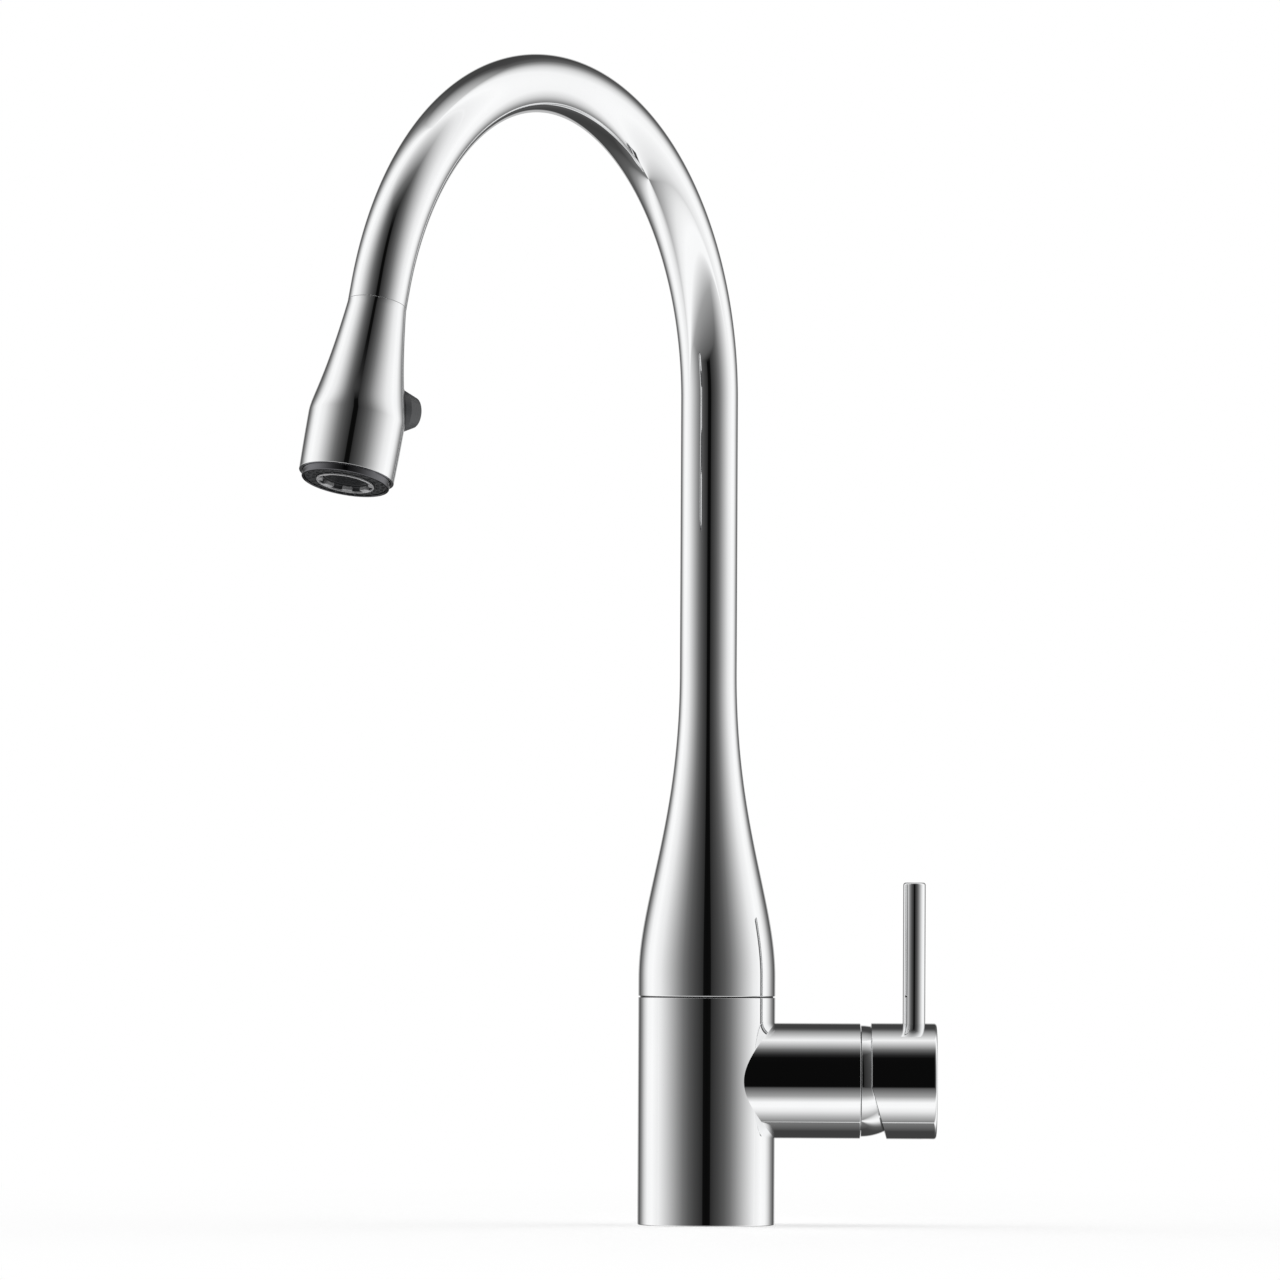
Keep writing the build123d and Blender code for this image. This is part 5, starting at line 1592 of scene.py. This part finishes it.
@dataclass
class UnderDeck:
    """The threaded shank, its nut and the threaded ends of the pipes."""

    shank: float = 17.0
    shank_bore: float = 14.7
    collar: float = 17.3
    collar_foot: float = -5.0
    shank_top: float = 11.9
    shank_pitch: float = 1.5
    union_radius: float = 8.3
    union_bore: float = 2.5
    union_pitch: float = 1.34
    union_flats: float = 19.0
    pipe_seat: float = 3.53
    hexagon: float = 7.0

    @staticmethod
    def threaded(
        name: str, radius: float, bore: float, span: tuple[float, float], pitch: float, axes: Axes
    ) -> bpy.types.Object:
        """A real helical thread as a bored bar.

        Args:
            name: The piece's name.
            radius: The thread's crest.
            bore: The bore through it.
            span: Its lowest and highest levels.
            pitch: The thread's pitch.
            axes: Its frame.

        Returns:
            The piece.
        """
        steps, rows = 72, []
        levels = np.arange(span[0], span[1] + 1e-6, pitch / 6)
        angles = np.arange(steps) * 2 * math.pi / steps
        across, around = np.cos(angles), np.sin(angles)
        crest, runout = 0.12 * pitch, 0.3 * pitch
        for level in levels:
            phase = (level / pitch - angles / (2 * math.pi)) % 1.0
            depth = 0.5 * pitch * np.abs(2 * phase - 1)
            ends = max(min(1.0, (level - span[0]) / pitch, (span[1] - level) / pitch), 0.0)
            ring = radius - crest - (depth * ends + runout * (1 - ends))
            ring = np.minimum(radius, ring + crest)
            rows.append(np.stack([ring * across, ring * around, np.full(steps, level)], axis=1))
        for level in (span[1], span[0]):
            rows.append(np.stack([bore * across, bore * around, np.full(steps, level)], axis=1))
        radii = np.full(len(rows), radius)
        faces, _ = round_faces(radii, steps)
        return new_piece(name, axes.place(np.concatenate(rows)), faces)

    def build_shank(self) -> None:
        """Makes the shank with the collar that centres it."""
        upright = column_axes()
        low = reach("threaded_shank", upright)[0]
        span = (low, self.collar_foot - 0.2)
        thread = self.threaded("thread", self.shank, self.shank_bore, span, self.shank_pitch, upright)
        section = Section().to(self.shank_bore, self.collar_foot - 0.3).to(self.shank, self.collar_foot - 0.3)
        section.to(self.shank, self.collar_foot).to(self.collar, self.collar_foot, 0.2).to(self.collar, 0, 0.2)
        section.to(self.shank, 0).to(self.shank, self.shank_top, 0.4).to(self.shank_bore, self.shank_top, 0.3)
        shank = merged("shank_with_thread", [thread, turned("collar", section, upright)])
        crease(shank)
        settle(shank, Body.BASE, BRASS, ["threaded_shank"], upright)

    def build_union(self, node: str) -> None:
        """Makes one supply union: a chamfered hexagon and a helical thread."""
        low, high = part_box(node)
        middle = (low + high) / 2
        foot = Vector((middle.x, middle.y, high.z - self.hexagon * MM))
        axes = Axes.along(foot, (0, 0, 1), (foot.x, foot.y, 0))
        corner = self.union_flats / 2 / math.cos(math.pi / 6)
        hexagon = prism("hexagon", hexagon_outline(corner), 0.0, self.hexagon, axes)
        flat, outside, above = self.union_flats / 2 - 0.2, corner + 2, self.hexagon + 1
        crown = Section().to(outside, -1).to(outside, above).to(flat, above).to(flat, self.hexagon)
        crown.to(corner + 0.2, self.hexagon - 1.0).to(corner + 0.2, 1.0).to(flat, 0).to(flat, -1)
        bore = Section().to(0, -1).to(self.union_bore, -1).to(self.union_bore, 0).to(self.pipe_seat, 0)
        bore.to(self.pipe_seat, above).to(0, above)
        carve(hexagon, [turned("crown", crown, axes, 72), turned("bore", bore, axes, 48)])
        span = ((low.z - foot.z) / MM, 0.0)
        thread = self.threaded("thread", self.union_radius, self.union_bore, span, self.union_pitch, axes)
        union = merged(node + "_threaded", [hexagon, thread])
        crease(union)
        settle(union, Body.BASE, BRASS, [node], axes)

    def build(self) -> None:
        """Makes the pieces under the worktop that are more than their CAD shape."""
        self.build_shank()
        for node in ("hot_union", "cold_union"):
            self.build_union(node)


# ---- the pieces whose CAD shape is already right --------------------------------------------


class Internals:
    """The CAD nodes that stay: each gets its own slot's finish, along its own axis."""

    # in metres: a node of the base that starts beyond both lies on the boss
    PAST_AXIS = 0.005
    ABOVE_FOOT = 0.02

    @staticmethod
    def axis_of(node: str, body: str) -> Axes:
        """The frame that a node's machining marks follow."""
        if body in ("spray_head", "hose_end"):
            return button_axes(SprayHead.crossing) if node.startswith(("spool", "diverter")) else head_axes()
        if body == "button":
            return button_axes(SprayHead.crossing)
        low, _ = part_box(node)
        on_boss = low.x > Internals.PAST_AXIS and low.z > Internals.ABOVE_FOOT
        return boss_axes() if on_boss else column_axes()

    def build(self) -> None:
        """Assigns a material to every CAD node that is still shown."""
        slots = {part["node"]: part["material_slot"] for part in frame["record"]["subparts"]}
        bodies = frame["record"]["behaviour"]["bodies"]
        homes = {name: body for body, names in bodies.items() for name in names}
        for name, node in frame["nodes"].items():
            if node.hide_render:
                continue
            slot = slots[name]
            finish = FINISHES[slot]
            material = finish.build(self.axis_of(name, homes[name]), "_" + name)
            node.data.materials.clear()
            node.data.materials.append(material)
            LOG.info("%s keeps its CAD shape in %s", name, slot)


# ---- studio ---------------------------------------------------------------------------------


@dataclass
class Studio:
    """A pale studio: white cards at the sides, a dark card round the camera, and a pale floor."""

    camera_place: tuple[float, float, float] = (-0.024, -4.2, 0.119)
    pitch: float = 1.17
    roll: float = 0.27
    lens: float = 337.0
    strength: float = 1.05
    side_cards: tuple[tuple[float, float], ...] = (
        (0, 0.003), (6, 0.004), (7, 0.025), (20, 0.06), (30, 0.1), (40, 0.17), (50, 0.29),
        (60, 0.44), (70, 0.6), (85, 0.84), (105, 1.0), (118, 0.95), (128, 0.7), (140, 0.3),
        (150, 0.12), (165, 0.06), (180, 0.05),
    )
    overhead_card: tuple[tuple[float, float], ...] = (
        (0, 0.0), (48, 0.004), (54, 0.02), (59, 0.06), (66, 0.16), (75, 0.44), (90, 0.92),
        (105, 0.52), (125, 0.1), (140, 0.0), (180, 0.0),
    )
    table_card: tuple[tuple[float, float], ...] = (
        (0, 0.0), (11, 0.004), (14, 0.1), (20, 0.19), (30, 0.36), (43, 0.98), (52, 1.0),
        (62, 0.86), (75, 0.5), (90, 0.2), (105, 0.13), (125, 0.02), (180, 0.0),
    )
    back_card: tuple[tuple[float, float], ...] = ((0, 0.5), (17, 0.5), (22, 0.0), (180, 0.0))

    def build_world(self) -> None:
        """Makes the room that the plating reflects, as a function of direction."""
        world = bpy.data.worlds.new("studio_room")
        bpy.context.scene.world = world
        world.use_nodes = True
        tree = world.node_tree
        tree.nodes.clear()
        sketch = ShaderSketch(tree)
        direction = sketch.add("ShaderNodeTexCoord").outputs["Generated"]
        parts = sketch.add("ShaderNodeSeparateXYZ", None, Vector=direction)
        x, y, z = (parts.outputs[k] for k in "XYZ")
        front = sketch.math("MULTIPLY", y, -1.0)
        steep = sketch.math("ARCTAN2", sketch.math("ABSOLUTE", z), front)
        half_turn = sketch.math("DIVIDE", sketch.math("ABSOLUTE", sketch.math("ARCTAN2", x, front)), math.pi)
        sides = self.ramp(sketch, half_turn, self.side_cards)
        pitch = sketch.math("DIVIDE", steep, math.pi)
        overhead = self.ramp(sketch, pitch, self.overhead_card)
        table = self.ramp(sketch, pitch, self.table_card)
        from_back = sketch.math("DIVIDE", sketch.math("ARCCOSINE", y), math.pi)
        behind = self.ramp(sketch, from_back, self.back_card)
        is_low = sketch.math("LESS_THAN", z, 0.0)
        blend = sketch.add("ShaderNodeMix", {"data_type": "FLOAT"})
        sockets = (blend.inputs[0], blend.inputs[2], blend.inputs[3])
        sketch.feed_all(sockets, (is_low, overhead, table))
        light = sketch.math("MAXIMUM", sketch.math("MAXIMUM", sides, blend.outputs[0]), behind)
        room = sketch.add("ShaderNodeBackground", None, Color=light, Strength=self.strength)
        plain = sketch.add("ShaderNodeBackground", None, Color=(1, 1, 1, 1), Strength=1.0)
        seen = sketch.add("ShaderNodeLightPath").outputs["Is Camera Ray"]
        mix = sketch.add("ShaderNodeMixShader")
        sketch.feed_all(mix.inputs, (seen, room.outputs[0], plain.outputs[0]))
        tree.links.new(mix.outputs[0], sketch.add("ShaderNodeOutputWorld").inputs["Surface"])

    @staticmethod
    def ramp(
        sketch: ShaderSketch, source: object, stops: Sequence[tuple[float, float]]
    ) -> bpy.types.NodeSocket:
        """A grey ramp over an angle.

        Args:
            sketch: Where it is added.
            source: The angle as a share of half a turn.
            stops: Each stop's angle in degrees and grey value.

        Returns:
            The ramp's grey value.
        """
        node = sketch.add("ShaderNodeValToRGB", None, Fac=source)
        elements = node.color_ramp.elements
        while len(elements) > 1:
            elements.remove(elements[-1])
        elements[0].position = stops[0][0] / 180
        elements[0].color = (stops[0][1],) * 3 + (1,)
        for angle, grey in stops[1:]:
            stop = elements.new(angle / 180)
            stop.color = (grey, grey, grey, 1)
        return node.outputs[0]

    def build_floor(self) -> None:
        """Makes the floor: softly shaded round the tap and plain pale further off."""
        size = 12.0
        points = np.array([(-size, -size, 0), (size, -size, 0), (size, size, 0), (-size, size, 0)])
        floor = new_piece("pale_floor", points, [(0, 1, 2, 3)])
        material, sketch, shader = start_material("pale_floor")
        place = sketch.add("ShaderNodeTexCoord").outputs["Object"]
        far = sketch.add("ShaderNodeVectorMath", {"operation": "LENGTH"})
        sketch.feed(far.inputs[0], place)
        share = sketch.spread(far.outputs["Value"], 0.0, 1.0, 0.1, 0.55)
        speckle = sketch.spread(sketch.noise(place, 40.0), 0.93, 0.95)
        shader.inputs["Roughness"].default_value = 0.9
        sketch.feed(shader.inputs["Base Color"], sketch.shaded((0.95, 0.95, 0.95), speckle))
        shader.inputs["Emission Color"].default_value = (1, 1, 1, 1)
        shader.inputs["Emission Strength"].default_value = 0.55
        plain = sketch.add("ShaderNodeEmission", None, Color=(1, 1, 1, 1), Strength=1.0)
        mix = sketch.add("ShaderNodeMixShader")
        sketch.feed_all(mix.inputs, (share, shader.outputs[0], plain.outputs[0]))
        output = material.node_tree.nodes["Material Output"]
        material.node_tree.links.new(mix.outputs[0], output.inputs["Surface"])
        floor.data.materials.append(material)
        floor.visible_glossy = False
        floor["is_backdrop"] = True

    def build_camera(self) -> None:
        """Makes the camera: far off with a long lens, a little above the foot, looking slightly up."""
        data = bpy.data.cameras.new("far_camera")
        data.lens = self.lens
        data.sensor_width = 36.0
        data.clip_end = 50.0
        camera = bpy.data.objects.new("far_camera", data)
        bpy.context.scene.collection.objects.link(camera)
        look = Matrix.Rotation(math.radians(90 + self.pitch), 4, "X")
        roll = Matrix.Rotation(math.radians(self.roll), 4, "Z")
        camera.matrix_world = Matrix.Translation(self.camera_place) @ look @ roll
        bpy.context.scene.camera = camera

    @staticmethod
    def keep_hardware_out_of_reflections() -> None:
        """Hides what reaches below the floor from mirror rays, which pass through the pale floor."""
        for piece in bpy.context.scene.objects:
            if piece.type != "MESH" or piece.name == "pale_floor" or not len(piece.data.vertices):
                continue
            if min(vertex.co.z for vertex in piece.data.vertices) < UNDER_FLOOR:
                piece.visible_glossy = False

    def build(self) -> None:
        """Makes the room, the floor and the camera."""
        self.build_world()
        self.build_floor()
        self.build_camera()
        bpy.context.scene.view_settings.view_transform = "Standard"


def write_sizes() -> None:
    """Works out the CAD box and the visual model's box as plain lists of numbers."""
    boxes = {"cad": CAD_BOX, "visual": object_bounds()}
    plain = {name: [[float(v) for v in corner] for corner in box] for name, box in boxes.items()}


def main() -> None:
    """Builds the tap and its studio in order."""
    logging.basicConfig(level=logging.INFO, format="%(name)s %(message)s")
    spout = Spout()
    assemblies = [Studio(), Column(), spout, Hose(spout)]
    assemblies += [SprayHead(), LeverSide(), UnderDeck(), Internals()]
    for assembly in assemblies:
        LOG.info("building %s", type(assembly).__name__)
        assembly.build()
    Studio.keep_hardware_out_of_reflections()
    write_sizes()


if __name__ == "__main__":
    main()
